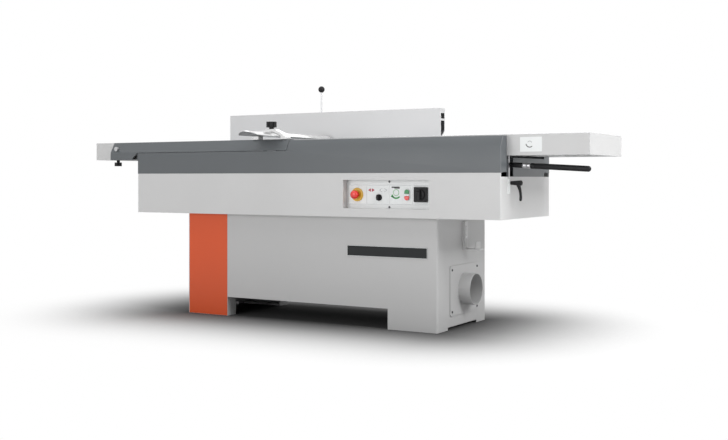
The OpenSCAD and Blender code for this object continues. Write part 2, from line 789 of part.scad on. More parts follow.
module crown_section(r_in) {
    // segment of a circle as wide and high as the guard, less r_in
    half = guard_w / 2;
    r = (half * half + guard_crown * guard_crown) / (2 * guard_crown);
    intersection() {
        translate([0, guard_z + guard_crown - r]) circle(r = r - r_in, $fn = 96);
        translate([-half + r_in, guard_z]) square([guard_w - 2 * r_in, guard_crown]);
    }
}

module guard_profile() color(alloy) intersection() {
    along_y(mid_y - guard_reach, fence_y - guard_gap) translate([cut_x, 0]) difference() {
        crown_section(0);
        translate([0, -0.01]) crown_section(guard_t);
    }
    union() {
        rod_z(table_h, table_h + 100, cut_x, mid_y - guard_reach + guard_w / 2, guard_w / 2);
        block([cut_x - guard_w, mid_y - guard_reach + guard_w / 2, table_h],
            [cut_x + guard_w, rear_y, table_h + 100]);
    }
}

module guard_knob() color(black_plastic) translate([cut_x, holder_y + holder_l / 2, 0]) {
    star(holder_top + 9, 26, 25.5, 6);
    rod_z(holder_top + 0.5, holder_top + 10, 0, 0, 11);
    rod_z(guard_z + guard_crown + 0.4, holder_top + 10, 0, 0, 6);
}

// ---------------------------------------------------------------- fence

module fence_section() {
    t = fence_t;
    w = 4;
    rise = t - fence_edge;
    difference() {
        polygon([[0, 0], [fence_edge, 0], [t, rise], [t, fence_h], [0, fence_h]]);
        polygon([[w, w + 7], [t - w, rise + 3], [t - w, fence_h * 0.60], [w, fence_h * 0.60]]);
        polygon([[w, fence_h * 0.67], [t - w, fence_h * 0.67], [t - w, fence_h * 0.84], [w, fence_h * 0.84]]);
    }
}

module fence_profile() color(alloy)
    along_x(fence_x0, fence_x0 + fence_l) translate([fence_y, fence_z0]) fence_section();

module hinge_lug() {
    // eye around the hinge pin, with a foot against the fence's bevel
    reach = (hinge_back - fence_edge - (hinge_z - fence_z0)) / sqrt(2);
    translate([hinge_y, hinge_z]) {
        circle(r = eye_r, $fn = 48);
        rotate(45) translate([-eye_r + 2, 0]) square([2 * eye_r - 4, reach]);
    }
}

module fence_brackets() color(cast) {
    for (s = [-1, 1]) {
        x0 = -fence_off + (s > 0 ? tongue_w / 2 + face_c : -tongue_w / 2 - face_c - lug_w);
        difference() {
            along_x(x0, x0 + lug_w) hinge_lug();
            rod_x(x0 - 1, x0 + lug_w + 1, hinge_y, hinge_z, hinge_pin_r + run_c);
        }
    }
    difference() {
        union() {
            block([clamp_x - 22, fence_y + fence_t, clamp_z - 26],
                [clamp_x + 22, fence_y + fence_t + 5, clamp_z + 14]);
            for (x = [clamp_x - 16, clamp_x + 8 + face_c])
                block([x, fence_y + fence_t + 5, clamp_z - 12], [x + 8 - face_c, clamp_y + 10, clamp_z + 12]);
        }
        rod_x(clamp_x - 30, clamp_x + 30, clamp_y, clamp_z, clamp_pin_r + run_c);
    }
}

module fence_hinge_pin() color(steel) {
    reach = tongue_w / 2 + lug_w + 4;
    rod_x(-fence_off - reach, -fence_off + reach, hinge_y, hinge_z, hinge_pin_r);
}

module fence_carriage() color(cast) difference() {
    union() {
        along_x(-fence_off - tongue_w / 2, -fence_off + tongue_w / 2) {
            translate([hinge_y, hinge_z]) circle(r = eye_r - 0.3, $fn = 48);
            translate([hinge_y, table_h + 2]) square([carriage_y - hinge_y + 1, 18]);
            translate([carriage_y, table_h + 2]) square([carriage_l, bar_z + bar_d / 2 + 3 - table_h - 2]);
        }
    }
    rod_x(-fence_off - tongue_w, -fence_off + tongue_w, hinge_y, hinge_z, hinge_pin_r + run_c);
    rod_y(carriage_y + 5, carriage_y + carriage_l + 1, -fence_off, bar_z, bar_d / 2 + run_c);
}

module guide_bar() color(steel) rod_y(carriage_y + 5, bar_end_y, -fence_off, bar_z, bar_d / 2);

module guide_bracket() color(cast) difference() {
    y0 = fence_y + bracket_back;
    y1 = y0 + bracket_l;
    r = bar_d / 2 + 14;
    union() {
        along_y(y0, y1) {
            translate([-fence_off, bar_z]) circle(r = r, $fn = 64);
            translate([-fence_off - r, bar_z - r]) square([2 * r, r]);
        }
        along_x(-fence_off - 12, -fence_off + 12)
            polygon([[rear_y + 14, casing_top - 140], [rear_y + 14, casing_top - 20], [y0, bar_z - r],
                [y1, bar_z - r], [y1, bar_z - r - 30], [rear_y + 60, casing_top - 140]]);
        block([-fence_off - 60, rear_y, casing_top - 150], [-fence_off + 60, rear_y + 14, casing_top - 10]);
    }
    rod_y(y0 - 1, y1 + 1, -fence_off, bar_z, bar_d / 2 + run_c);
}

module clamp_rod() color(steel) {
    rod_x(clamp_x - 8, clamp_x + 8, clamp_y, clamp_z, 10);
    rod_x(clamp_x - 15, clamp_x + 15, clamp_y, clamp_z, clamp_pin_r);
    rod_z(clamp_z, clamp_z + clamp_l - 4, clamp_x, clamp_y, 4);
}

module clamp_ball() color(black_plastic) difference() {
    translate([clamp_x, clamp_y, clamp_z + clamp_l]) sphere(r = ball_r, $fn = 64);
    rod_z(clamp_z, clamp_z + clamp_l - 4, clamp_x, clamp_y, 4 + run_c);
}

// ---------------------------------------------------------------- cutterblock and drive

knife_t = 3;
knife_h = 26;
gib_t = 9;

module at_cutter() {
    translate([cut_x, 0, cut_z]) children();
}

// The pocket, knife and gib lie side by side behind each cutting edge
module knife_spot(i) {
    rotate([0, i * 360 / knife_n + 45, 0]) children();
}

module cutterblock() color(steel) at_cutter() {
    difference() {
        rod_y(mid_y - block_l / 2, mid_y + block_l / 2, 0, 0, block_r);
        for (i = [0 : knife_n - 1]) knife_spot(i)
            block([-gib_t - 0.2, mid_y - block_l, block_r - knife_h + 4 - 0.2],
                [knife_t + 0.2, mid_y + block_l, block_r + 9]);
    }
    rod_y(mid_y - pedestal_y - pedestal_t, mid_y + pedestal_y + pedestal_t, 0, 0, journal_r);
    rod_y(mid_y, pulley_y0 + pulley_w, 0, 0, 12);
}

module knives() color(alloy) at_cutter() for (i = [0 : knife_n - 1]) knife_spot(i)
    along_y(mid_y - block_l / 2 + 1, mid_y + block_l / 2 - 1)
        polygon([[0, block_r + 4 - knife_h], [knife_t, block_r + 4 - knife_h], [knife_t, block_r + 1],
            [0.6, block_r + 3.5], [0, block_r + 3.5]]);

module gibs() color(steel) at_cutter() for (i = [0 : knife_n - 1]) knife_spot(i)
    block([-gib_t, mid_y - block_l / 2 + 2, block_r + 4 - knife_h],
        [-0.1, mid_y + block_l / 2 - 2, block_r - 3]);

bearing_r = 38;

module bearings() color(steel) for (s = [-1, 1]) difference() {
    y0 = s > 0 ? mid_y + pedestal_y + 2 : mid_y - pedestal_y - pedestal_t + 2;
    rod_y(y0, y0 + pedestal_t - 4, cut_x, cut_z, bearing_r);
    rod_y(y0 - 1, y0 + pedestal_t, cut_x, cut_z, journal_r + run_c);
}

module cutter_pulley() color(steel) difference() {
    rod_y(pulley_y0, pulley_y0 + pulley_w, cut_x, cut_z, cutter_pulley_r);
    rod_y(pulley_y0 - 1, pulley_y0 + pulley_w + 1, cut_x, cut_z, 12 + run_c);
}

module belt_outline(extra) {
    hull() {
        translate([cut_x, cut_z]) circle(r = cutter_pulley_r + extra, $fn = 32);
        translate([motor_x, motor_z]) circle(r = motor_pulley_r + extra, $fn = 32);
    }
}

module drive_belt() color(black_plastic) along_y(pulley_y0 + 2, pulley_y0 + pulley_w - 2) difference() {
    belt_outline(5);
    belt_outline(0.7);
}

module motor() color([0.30, 0.33, 0.38]) {
    y1 = mid_y + beam_y - beam_t / 2 - 8;
    difference() {
        union() {
            rod_y(y1 - 260, y1, motor_x, motor_z, motor_r);
            block([motor_x - 75, y1 - 220, floor_z1], [motor_x + 75, y1 - 40, motor_z - motor_r / 2]);
            block([motor_x - 40, y1 - 190, motor_z], [motor_x + 40, y1 - 80, motor_z + motor_r + 18]);
        }
        rod_y(y1 - 30, y1 + 1, motor_x, motor_z, motor_shaft_r + run_c);
    }
}

module motor_pulley() color(steel) {
    y1 = mid_y + beam_y - beam_t / 2 - 8;
    rod_y(y1 - 29, pulley_y0 + pulley_w, motor_x, motor_z, motor_shaft_r);
    rod_y(pulley_y0, pulley_y0 + pulley_w, motor_x, motor_z, motor_pulley_r);
}

module bed_frame() color(dark_paint) {
    beam_top = base_h + beam_h;
    for (s = [-1, 1]) {
        y0 = mid_y + s * beam_y - beam_t / 2;
        // long side beams with ears for the lift shafts
        difference() {
            union() {
                block([beam_x0, y0, floor_z1], [beam_x1, y0 + beam_t, beam_top]);
                for (x = [lift_x1, lift_x2])
                    block([x - 32, y0, floor_z1], [x + 32, y0 + beam_t, lift_z + lift_shaft_r + 9]);
                for (x = [beam_x0, post_x])
                    block([x, y0, floor_z1], [x + beam_t * 6, y0 + beam_t, table_z0 - 0.01]);
            }
            for (x = [lift_x1, lift_x2]) rod_y(y0 - 1, y0 + beam_t + 1, x, lift_z, lift_shaft_r + run_c);
            rod_y(y0 - 1, y0 + beam_t + 1, motor_x, motor_z, motor_shaft_r + 12);
        }
        // pedestals of the cutterblock's bearings
        p0 = s > 0 ? mid_y + pedestal_y : mid_y - pedestal_y - pedestal_t;
        difference() {
            union() {
                block([cut_x - 50, p0, floor_z1], [cut_x + 50, p0 + pedestal_t, cut_z]);
                rod_y(p0, p0 + pedestal_t, cut_x, cut_z, 50);
            }
            block([cut_x - 60, p0 - 1, cut_z + bearing_r + 6], [cut_x + 60, p0 + pedestal_t + 1, cut_z + 60]);
            rod_y(p0 + 2, p0 + pedestal_t - 2, cut_x, cut_z, bearing_r + run_c);
            rod_y(p0 - 1, p0 + pedestal_t + 1, cut_x, cut_z, journal_r + 6);
        }
    }
    // cross walls that carry the outfeed table
    for (x = [beam_x0 + 20, post_x + 30])
        block([x, mid_y - beam_y + beam_t / 2, floor_z1], [x + beam_t, mid_y + beam_y - beam_t / 2, table_z0]);
}

module dust_chute() color(light_paint) {
    x0 = cut_x - chute_w / 2;
    x1 = cut_x + chute_w / 2;
    pipe_r = spigot_d / 2 - 1;
    z0 = port_z - pipe_r - 4;
    top = cut_z - 95;
    difference() {
        union() {
            block([x0, mid_y - chute_half, z0], [x1, mid_y + chute_half, top]);
            rod_x(x1 - 1, base_l / 2 - sheet, port_y, port_z, pipe_r);
        }
        block([x0 + 2, mid_y - chute_half + 2, z0 + 2], [x1 - 2, mid_y + chute_half - 2, top + 1]);
        rod_x(x1 - 5, base_l / 2, port_y, port_z, pipe_r - 2);
    }
}

base_front();
base_rear();
base_ends();
accent_panel();
blank_nameplate();
dust_port();
panel_screws();
hook_bracket();
hook_bolts();
casing_front();
casing_rear();
casing_ends();
casing_floor();
front_apron();
rear_apron();
end_covers();
control_plate();
control_labels();
stop_collar();
stop_mushroom();
selector_knob();
start_button();
halt_button();
main_switch_body();
main_switch_knob();
outfeed_table();
infeed_table();
table_label();
depth_scale();
depth_pointer();
lift_shaft_lever_side();
lift_shaft_cutter_side();
lift_rod();
lift_lever();
lever_grip();
lock_lever();
guard_arm();
arm_pivot_bolt();
arm_knob();
guard_holder();
guard_profile();
guard_knob();
fence_profile();
fence_brackets();
fence_hinge_pin();
fence_carriage();
guide_bar();
guide_bracket();
clamp_rod();
clamp_ball();
cutterblock();
knives();
gibs();
bearings();
cutter_pulley();
drive_belt();
motor();
motor_pulley();
bed_frame();
dust_chute();
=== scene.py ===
# %% [markdown]
# A surface planer for wood, built around a fixed frame of exact parts.
# The frame gives every panel, shaft and knob its size and place. This script gives them
# their finish: soft edges, powder coat, ground iron, anodised alloy, and the small fittings.

# %% Load the frame
import json
from math import cos, pi, radians, sin, tau

import bmesh
import bpy
from mathutils import Matrix, Vector


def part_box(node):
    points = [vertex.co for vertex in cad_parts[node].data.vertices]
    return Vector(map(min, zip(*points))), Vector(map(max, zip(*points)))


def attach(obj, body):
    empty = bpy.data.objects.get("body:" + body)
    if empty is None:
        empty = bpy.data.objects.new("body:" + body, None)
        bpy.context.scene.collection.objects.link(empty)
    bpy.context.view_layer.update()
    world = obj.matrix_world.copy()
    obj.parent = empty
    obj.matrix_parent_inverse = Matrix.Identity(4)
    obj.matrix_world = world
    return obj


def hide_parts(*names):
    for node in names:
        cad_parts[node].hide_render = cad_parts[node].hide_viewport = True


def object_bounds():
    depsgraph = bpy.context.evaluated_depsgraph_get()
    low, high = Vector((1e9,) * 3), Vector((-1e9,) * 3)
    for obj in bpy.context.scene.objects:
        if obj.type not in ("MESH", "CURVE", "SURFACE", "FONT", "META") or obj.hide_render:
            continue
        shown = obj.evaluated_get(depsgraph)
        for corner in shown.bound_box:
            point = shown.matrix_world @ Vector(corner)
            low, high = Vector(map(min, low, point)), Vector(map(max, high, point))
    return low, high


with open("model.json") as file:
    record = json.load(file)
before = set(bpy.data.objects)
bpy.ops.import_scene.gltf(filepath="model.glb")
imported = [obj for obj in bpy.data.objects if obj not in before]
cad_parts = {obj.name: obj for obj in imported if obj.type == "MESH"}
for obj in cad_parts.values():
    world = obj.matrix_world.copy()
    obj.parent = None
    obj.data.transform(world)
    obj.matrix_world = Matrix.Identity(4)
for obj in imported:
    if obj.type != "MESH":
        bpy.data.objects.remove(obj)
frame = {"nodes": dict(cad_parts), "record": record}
cad_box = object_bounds()
MM = 0.001
nodes = frame["nodes"]
body_of_node = {n: b for b, members in frame["record"]["behaviour"]["bodies"].items() for n in members}
slot_of_node = {s["node"]: s["material_slot"] for s in frame["record"]["subparts"]}


def middle(node):
    """The middle of an exact part's box."""
    low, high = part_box(node)
    return (low + high) / 2


# %% [markdown]
# The machine is seen from its front right corner, from about table height. A level camera
# keeps every upright edge upright, and a small shift puts the machine where it belongs in
# the view without tilting the camera.

# %% Camera
floor_z = cad_box[0][2]
middle_y = middle("outfeed_table").y
camera_data = bpy.data.cameras.new("viewpoint")
camera_data.lens = 50.39
camera_data.shift_y = -0.0579
camera_data.clip_end = 100
camera = bpy.data.objects.new("viewpoint", camera_data)
camera.location = (2.590, middle_y - 4.1275, floor_z + 0.6593)
camera.rotation_euler = (radians(90), 0, radians(30.36))
bpy.context.scene.collection.objects.link(camera)
bpy.context.scene.camera = camera
bpy.context.scene.view_settings.view_transform = "Standard"
print("camera at", tuple(round(v, 3) for v in camera.location))


# %% [markdown]
# A material is a small network. Two helpers keep the networks readable: one adds a node and
# sets its sockets, the other joins two sockets. Every pattern reads Object coordinates, so it
# stays fixed to the piece when the piece moves.

# %% Node helpers
def add(tree, kind, **sockets):
    """A new shader node, with its named input sockets set."""
    node = tree.nodes.new(kind)
    for name, value in sockets.items():
        node.inputs[name.replace("_", " ")].default_value = value
    return node


def join(tree, source, out, target, into):
    """A link from one socket to another."""
    tree.links.new(source.outputs[out], target.inputs[into])


def shade(colour, factor):
    """The colour made lighter or darker, as four numbers."""
    return tuple(min(1.0, c * factor) for c in colour[:3]) + (1.0,)


# %% [markdown]
# Powder coat, moulded plastic and anodised metal differ in colour, gloss and grain, but they
# are built alike: a broad cloud that changes colour and gloss a little, and a fine grain that
# lifts the surface. One function makes them all. Its stretch draws the grain out along an
# axis, which turns speckle into the lines of grinding or extrusion.

# %% Surface finishes
def finish(name, colour, rough, metal=0.0, grain=900.0, relief=0.05, cloud=2.2, tint=0.035, stretch=(1, 1, 1),
           coat=0.0, sheen_of_light=0.5):
    """A material with a cloudy tint, uneven gloss and a fine relief."""
    material = bpy.data.materials.new(name)
    material.use_nodes = True
    tree = material.node_tree
    tree.nodes.clear()
    out = add(tree, "ShaderNodeOutputMaterial")
    shader = add(tree, "ShaderNodeBsdfPrincipled", Metallic=metal, Coat_Weight=coat, Coat_Roughness=0.12,
                 Specular_IOR_Level=sheen_of_light)
    place = add(tree, "ShaderNodeTexCoord")
    mapping = add(tree, "ShaderNodeMapping", Scale=stretch)
    clouds = add(tree, "ShaderNodeTexNoise", Scale=cloud, Detail=5.0, Roughness=0.6)
    speckle = add(tree, "ShaderNodeTexNoise", Scale=grain, Detail=2.0, Roughness=0.5)
    tone = add(tree, "ShaderNodeMix")
    tone.data_type = "RGBA"
    tone_a, tone_b = [s for s in tone.inputs if s.type == "RGBA"]
    tone_a.default_value = shade(colour, 1 - tint)
    tone_b.default_value = shade(colour, 1 + tint)
    tone_out = [s for s in tone.outputs if s.type == "RGBA"][0]
    gloss = add(tree, "ShaderNodeMapRange")
    gloss.inputs["From Min"].default_value = 0.3
    gloss.inputs["From Max"].default_value = 0.7
    gloss.inputs["To Min"].default_value = rough * 0.88
    gloss.inputs["To Max"].default_value = min(1.0, rough * 1.14)
    bump = add(tree, "ShaderNodeBump", Strength=relief, Distance=0.0004)
    join(tree, place, "Object", mapping, "Vector")
    join(tree, mapping, "Vector", speckle, "Vector")
    join(tree, place, "Object", clouds, "Vector")
    join(tree, clouds, "Fac", tone, "Factor")
    join(tree, clouds, "Fac", gloss, "Value")
    join(tree, speckle, "Fac", bump, "Height")
    tree.links.new(tone_out, shader.inputs["Base Color"])
    join(tree, gloss, "Result", shader, "Roughness")
    join(tree, bump, "Normal", shader, "Normal")
    join(tree, shader, "BSDF", out, "Surface")
    return material


iron_grey = (0.098, 0.107, 0.114)
finishes = {
    "light_paint": finish("light_powder_coat", (0.575, 0.575, 0.575), 0.46, relief=0.10),
    # painted shade: the casing's pale coat made darker for the cabinet, for the shade that falls on the lower part
    "cabinet_paint": finish("cabinet_powder_coat", (0.490, 0.490, 0.490), 0.48, relief=0.10),
    "dark_paint": finish("dark_powder_coat", iron_grey, 0.42, relief=0.12),
    "orange_paint": finish("orange_powder_coat", (0.64, 0.078, 0.012), 0.44, relief=0.08),
    "black_plastic": finish("black_plastic", (0.014, 0.014, 0.015), 0.50, grain=1600, relief=0.16, cloud=30,
                            sheen_of_light=0.22),
    "white_plastic": finish("label_film", (0.78, 0.80, 0.80), 0.38, relief=0.02, tint=0.02),
    "red_plastic": finish("red_plastic", (0.72, 0.030, 0.022), 0.24, grain=500, relief=0.02, cloud=40,
                          coat=0.4),
    "yellow_plastic": finish("yellow_plastic", (0.70, 0.42, 0.035), 0.34, grain=500, relief=0.03, cloud=40),
    "green_plastic": finish("green_plastic", (0.02, 0.24, 0.07), 0.28, grain=500, relief=0.02, cloud=40),
    "steel": finish("turned_steel", (0.50, 0.50, 0.51), 0.30, metal=1.0, grain=700, relief=0.12, cloud=18,
                    tint=0.08),
    "cast_table": finish("painted_casting", (0.575, 0.575, 0.575), 0.48, grain=420, relief=0.20, cloud=6),
    "cast_paint": finish("bracket_paint", (0.33, 0.34, 0.35), 0.50, grain=420, relief=0.30, cloud=6),
    "alloy": finish("anodised_alloy", (0.60, 0.60, 0.605), 0.42, metal=0.12, grain=60, relief=0.08, cloud=3,
                    tint=0.03, stretch=(0.05, 12, 12)),
    "rubber": finish("belt_rubber", (0.018, 0.018, 0.018), 0.75, grain=900, relief=0.3, cloud=50),
    "motor_paint": finish("motor_paint", (0.06, 0.08, 0.12), 0.45, grain=600, relief=0.15, cloud=10),
}
ground_iron = finish("ground_iron", (0.56, 0.57, 0.58), 0.26, metal=0.85, grain=40, relief=0.18, cloud=2,
                     tint=0.05, stretch=(0.4, 30, 30))
plate_metal = finish("plate_metal", (0.60, 0.61, 0.61), 0.40, metal=0.25, grain=60, relief=0.08, cloud=5,
                     stretch=(0.3, 20, 20))
guard_alloy = finish("bright_alloy", (0.66, 0.66, 0.66), 0.24, metal=0.55, grain=60, relief=0.10, cloud=12,
                     tint=0.04, stretch=(20, 0.3, 20))
# painted shade: near-black colour for the inside of the fence's chambers, where shade falls
chamber_painted_shade = finish("mill_finish_alloy", (0.10, 0.10, 0.105), 0.60, metal=0.3, grain=90, relief=0.1, cloud=20)
galvanised = finish("galvanised_sheet", (0.42, 0.43, 0.44), 0.42, metal=0.7, grain=90, relief=0.1, cloud=30,
                    tint=0.14)
# painted highlight: lighter copies of the three paints, laid on the bevelled corners
highlight_edge_light = finish("worn_light_edge", (0.66, 0.66, 0.66), 0.36, relief=0.05)
highlight_edge_cabinet = finish("worn_cabinet_edge", (0.56, 0.56, 0.56), 0.38, relief=0.05)
highlight_edge_dark = finish("worn_dark_edge", (0.19, 0.20, 0.21), 0.34, relief=0.05)
plate_black = finish("black_enamel", (0.026, 0.028, 0.029), 0.55, relief=0.03, sheen_of_light=0.15)
dark_screw = finish("blackened_screw", (0.09, 0.09, 0.095), 0.42, metal=0.5, grain=600, relief=0.1, cloud=30)
print_red = finish("printed_red", (0.42, 0.03, 0.06), 0.4, relief=0.02)
print_grey = finish("printed_grey", (0.22, 0.22, 0.24), 0.4, relief=0.02)
print_black = finish("printed_black", (0.025, 0.025, 0.025), 0.4, relief=0.02)
print_green = finish("printed_green", (0.02, 0.26, 0.05), 0.4, relief=0.02)
print_pale_green = finish("printed_pale_green", (0.30, 0.52, 0.32), 0.4, relief=0.02)
print(len(bpy.data.materials), "materials")

# %% [markdown]
# Pressed sheet and castings never have a knife-sharp corner: the corner always catches a thin
# line of light. The exact part is copied, its loose triangles are merged and its flat faces
# joined up again, and a narrow bevel rounds the corners. The bevel's own faces get a slightly
# lighter paint: a painted highlight along every corner, on top of the light the bevel catches.

# %% Soft edges
# each of these paints has its lighter copy on the bevels: a painted highlight along every corner
painted_edge_highlight = {"light_paint": highlight_edge_light, "cabinet_paint": highlight_edge_cabinet, "dark_paint": highlight_edge_dark}


def plain_mesh(obj, name):
    """The object's shape with its modifiers worked in, as a new mesh object at the origin."""
    bpy.context.view_layer.update()
    seen = obj.evaluated_get(bpy.context.evaluated_depsgraph_get())
    mesh = bpy.data.meshes.new_from_object(seen)
    mesh.transform(obj.matrix_world)
    mesh.name = name
    made = bpy.data.objects.new(name, mesh)
    bpy.context.scene.collection.objects.link(made)
    bpy.data.objects.remove(obj)
    return made


def seat(piece, body, slot, *stands_for):
    """Ties a finished piece to its body and hides the exact parts that it stands for. slot is not used."""
    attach(piece, body)
    if stands_for:
        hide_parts(*stands_for)
    return piece


def clean_copy(node):
    """A merged copy of an exact part, with its flat faces joined up."""
    mesh = nodes[node].data.copy()
    bm = bmesh.new()
    bm.from_mesh(mesh)
    bmesh.ops.remove_doubles(bm, verts=bm.verts, dist=0.00002)
    bmesh.ops.dissolve_limit(bm, angle_limit=radians(0.5), verts=bm.verts, edges=bm.edges)
    bm.to_mesh(mesh)
    bm.free()
    copy = bpy.data.objects.new(node + "_copy", mesh)
    bpy.context.scene.collection.objects.link(copy)
    return copy


def soften(node, width, material=None, edge=None, steps=2, extra=None, choose=None):
    """The part with rounded corners, width in millimetres. choose picks the faces of the extra finish."""
    slot = slot_of_node[node]
    material = material or finishes[slot]
    copy = clean_copy(node)
    copy.data.materials.clear()
    for m in (material, edge or painted_edge_highlight.get(slot, material), extra or material):
        copy.data.materials.append(m)
    for face in copy.data.polygons:
        face.material_index = 2 if choose and choose(face) else 0
    copy.data.shade_smooth()
    copy.data.set_sharp_from_angle(angle=radians(40))
    bevel = copy.modifiers.new("bevel", "BEVEL")
    bevel.width = width * MM
    bevel.segments = steps
    bevel.limit_method = "ANGLE"
    bevel.angle_limit = radians(40)
    bevel.material = 1 if edge or slot in painted_edge_highlight else -1
    bevel.harden_normals = True
    piece = plain_mesh(copy, node + "_finished")
    return seat(piece, body_of_node[node], slot, node)


sheet_parts = ["base_front", "base_rear", "base_ends", "casing_front", "casing_rear", "casing_ends",
               "front_apron", "rear_apron", "guard_arm"]
for part in sheet_parts:
    piece = soften(part, 0.8)
    print(part, len(piece.data.polygons), "faces")
for part, width in (("hook_bracket", 0.8), ("dust_port", 0.9), ("accent_panel", 0.5), ("guide_bracket", 2.0),
                    ("fence_brackets", 0.8), ("fence_carriage", 1.5), ("motor", 2.5), ("bed_frame", 1.0),
                    ("lift_rod", 1.0), ("main_switch_body", 2.4), ("selector_knob", 1.6)):
    soften(part, width)
soften("arm_knob", 1.8, steps=3)
soften("guard_knob", 2.2, steps=3)

# %% [markdown]
# The tables are iron castings. Their tops are ground bright, with fine lines along the run of
# the wood, while the sides keep their paint. So the top faces get a finish of their own, and
# the bevel between the two is bare iron.

# %% Tables
for table in ("outfeed_table", "infeed_table"):
    top_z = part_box(table)[1].z
    soften(table, 1.0, edge=ground_iron, extra=ground_iron,
           choose=lambda face: face.normal.z > 0.9 and face.center.z > top_z - 0.0005)

# %% [markdown]
# The fence is an extrusion with two hollow chambers, open at the ends. Its outside is
# anodised, pale and satin, and the inside of the chambers is painted near black: painted shade for the dark
# hollows.

# %% Fence
fence_low, fence_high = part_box("fence_profile")
BEVEL_REACH = 0.048


def chamber_face_for_painted_shade(face):
    """Whether a face belongs to a chamber: it lies away from every outer face."""
    if abs(face.normal.x) > 0.5:
        return False
    c = face.center
    back = fence_high.y - c.y
    rise = c.z - fence_low.z
    on_front = c.y - fence_low.y < 0.001
    on_back = back < 0.001
    on_bevel = face.normal.z < -0.5 and face.normal.y > 0.5 and back + rise < BEVEL_REACH
    on_rim = rise < 0.001 or fence_high.z - c.z < 0.001
    return not (on_front or on_back or on_bevel or on_rim)


# the chamber faces get the near-black painted shade
soften("fence_profile", 0.8, extra=chamber_painted_shade, choose=chamber_face_for_painted_shade)
print("fence", round(fence_high.x - fence_low.x, 3), "m long")

# %% [markdown]
# The bridge guard and its holder are brighter than the fence: handled, wiped and rubbed by
# every board. Their brushed lines run across the machine, along the guard.

# %% Guard
soften("guard_profile", 0.7, material=guard_alloy)
soften("guard_holder", 1.2, material=guard_alloy)


# %% [markdown]
# Many small parts are turned on a lathe or moulded round: knobs, grips, collars, the ball of
# the clamp lever. One helper turns an outline about an axis. An outline is a list of steps
# along the axis with a radius at each, and its rounded corners are worked into those steps.

# %% Turned parts
def turned(name, outline, place, materials, parts=48):
    """A round part from steps of (distance along the axis, radius, material number), in millimetres."""
    bm = bmesh.new()
    rings = []
    for along, radius, *_ in outline:
        if radius <= 0:
            rings.append([bm.verts.new((0, 0, along * MM))])
        else:
            rings.append([bm.verts.new((radius * MM * cos(tau * i / parts), radius * MM * sin(tau * i / parts),
                                        along * MM)) for i in range(parts)])
    for step, (a, b) in enumerate(zip(rings, rings[1:])):
        number = outline[step][2] if len(outline[step]) > 2 else 0
        for i in range(parts):
            j = (i + 1) % parts
            if len(a) == 1:
                face = bm.faces.new((a[0], b[j], b[i]))
            elif len(b) == 1:
                face = bm.faces.new((a[i], a[j], b[0]))
            else:
                face = bm.faces.new((a[i], a[j], b[j], b[i]))
            face.material_index = number
    bmesh.ops.recalc_face_normals(bm, faces=bm.faces)
    mesh = bpy.data.meshes.new(name)
    bm.to_mesh(mesh)
    bm.free()
    mesh.transform(place)
    for material in materials:
        mesh.materials.append(material)
    mesh.shade_smooth()
    mesh.set_sharp_from_angle(angle=radians(38))
    piece = bpy.data.objects.new(name, mesh)
    bpy.context.scene.collection.objects.link(piece)
    return piece


def arc(centre_along, centre_radius, size, start, end, number=0, steps=8):
    """Steps of an outline that follow a circle, angles in degrees from the axis's direction."""
    found = []
    for i in range(steps + 1):
        a = radians(start + (end - start) * i / steps)
        found.append((centre_along + size * cos(a), max(0.0, centre_radius + size * sin(a)), number))
    return found


TO_OPERATOR = Matrix.Rotation(radians(90), 4, "X")
TO_RIGHT = Matrix.Rotation(radians(90), 4, "Y")

# ball of the clamp lever: a flat where the rod enters, and a round body
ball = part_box("clamp_ball")
ball_r = (ball[1].x - ball[0].x) / 2 / MM
ball_place = Matrix.Translation((middle("clamp_ball").x, middle("clamp_ball").y, ball[1].z - ball_r * MM))
flat = -ball_r * 0.93
seat(turned("clamp_ball_finished", [(flat, 0, 0), (flat, 5.4, 0)] + arc(0, 0, ball_r, 160, 0, steps=24),
            ball_place, [finishes["black_plastic"]]), "clamp", "black_plastic", "clamp_ball")

# emergency stop: a mushroom head on a red stem, over a yellow collar
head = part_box("stop_mushroom")
stop_centre = middle("stop_mushroom")
plate_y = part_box("control_plate")[0].y
stop_place = Matrix.Translation((stop_centre.x, plate_y, stop_centre.z)) @ TO_OPERATOR
mushroom = [(-20, 0), (-20, 11), (17.5, 11), (19, 12), (20.5, 17.2), (22, 18.8)]
mushroom += arc(26, 16, 3.5, 125, 45, steps=4) + [(33, 17.6), (36.2, 14.6), (38.4, 10.5), (39.6, 5.5), (40, 0)]
seat(turned("stop_mushroom_finished", mushroom, stop_place, [finishes["red_plastic"]]), "stop", "red_plastic",
     "stop_mushroom")
collar = [(0, 11.5), (0, 30), (3.6, 30), (4.9, 29.3), (6, 26.5), (6, 14), (5.2, 11.6), (0, 11.5)]
seat(turned("stop_collar_finished", collar, stop_place, [finishes["yellow_plastic"]]), "frame",
     "yellow_plastic",
     "stop_collar")
print("ball radius", round(ball_r, 1), "mm; stop head", round((head[1].x - head[0].x) / MM, 1), "mm")

# %% [markdown]
# The lift lever is a black rod with a bright collar and a plastic grip. It leans down a little.
# The rod and the grip are turned about the same leaning line, which starts on the lift shaft's
# axis; the hub is turned about a level axis through the same point, towards the operator.

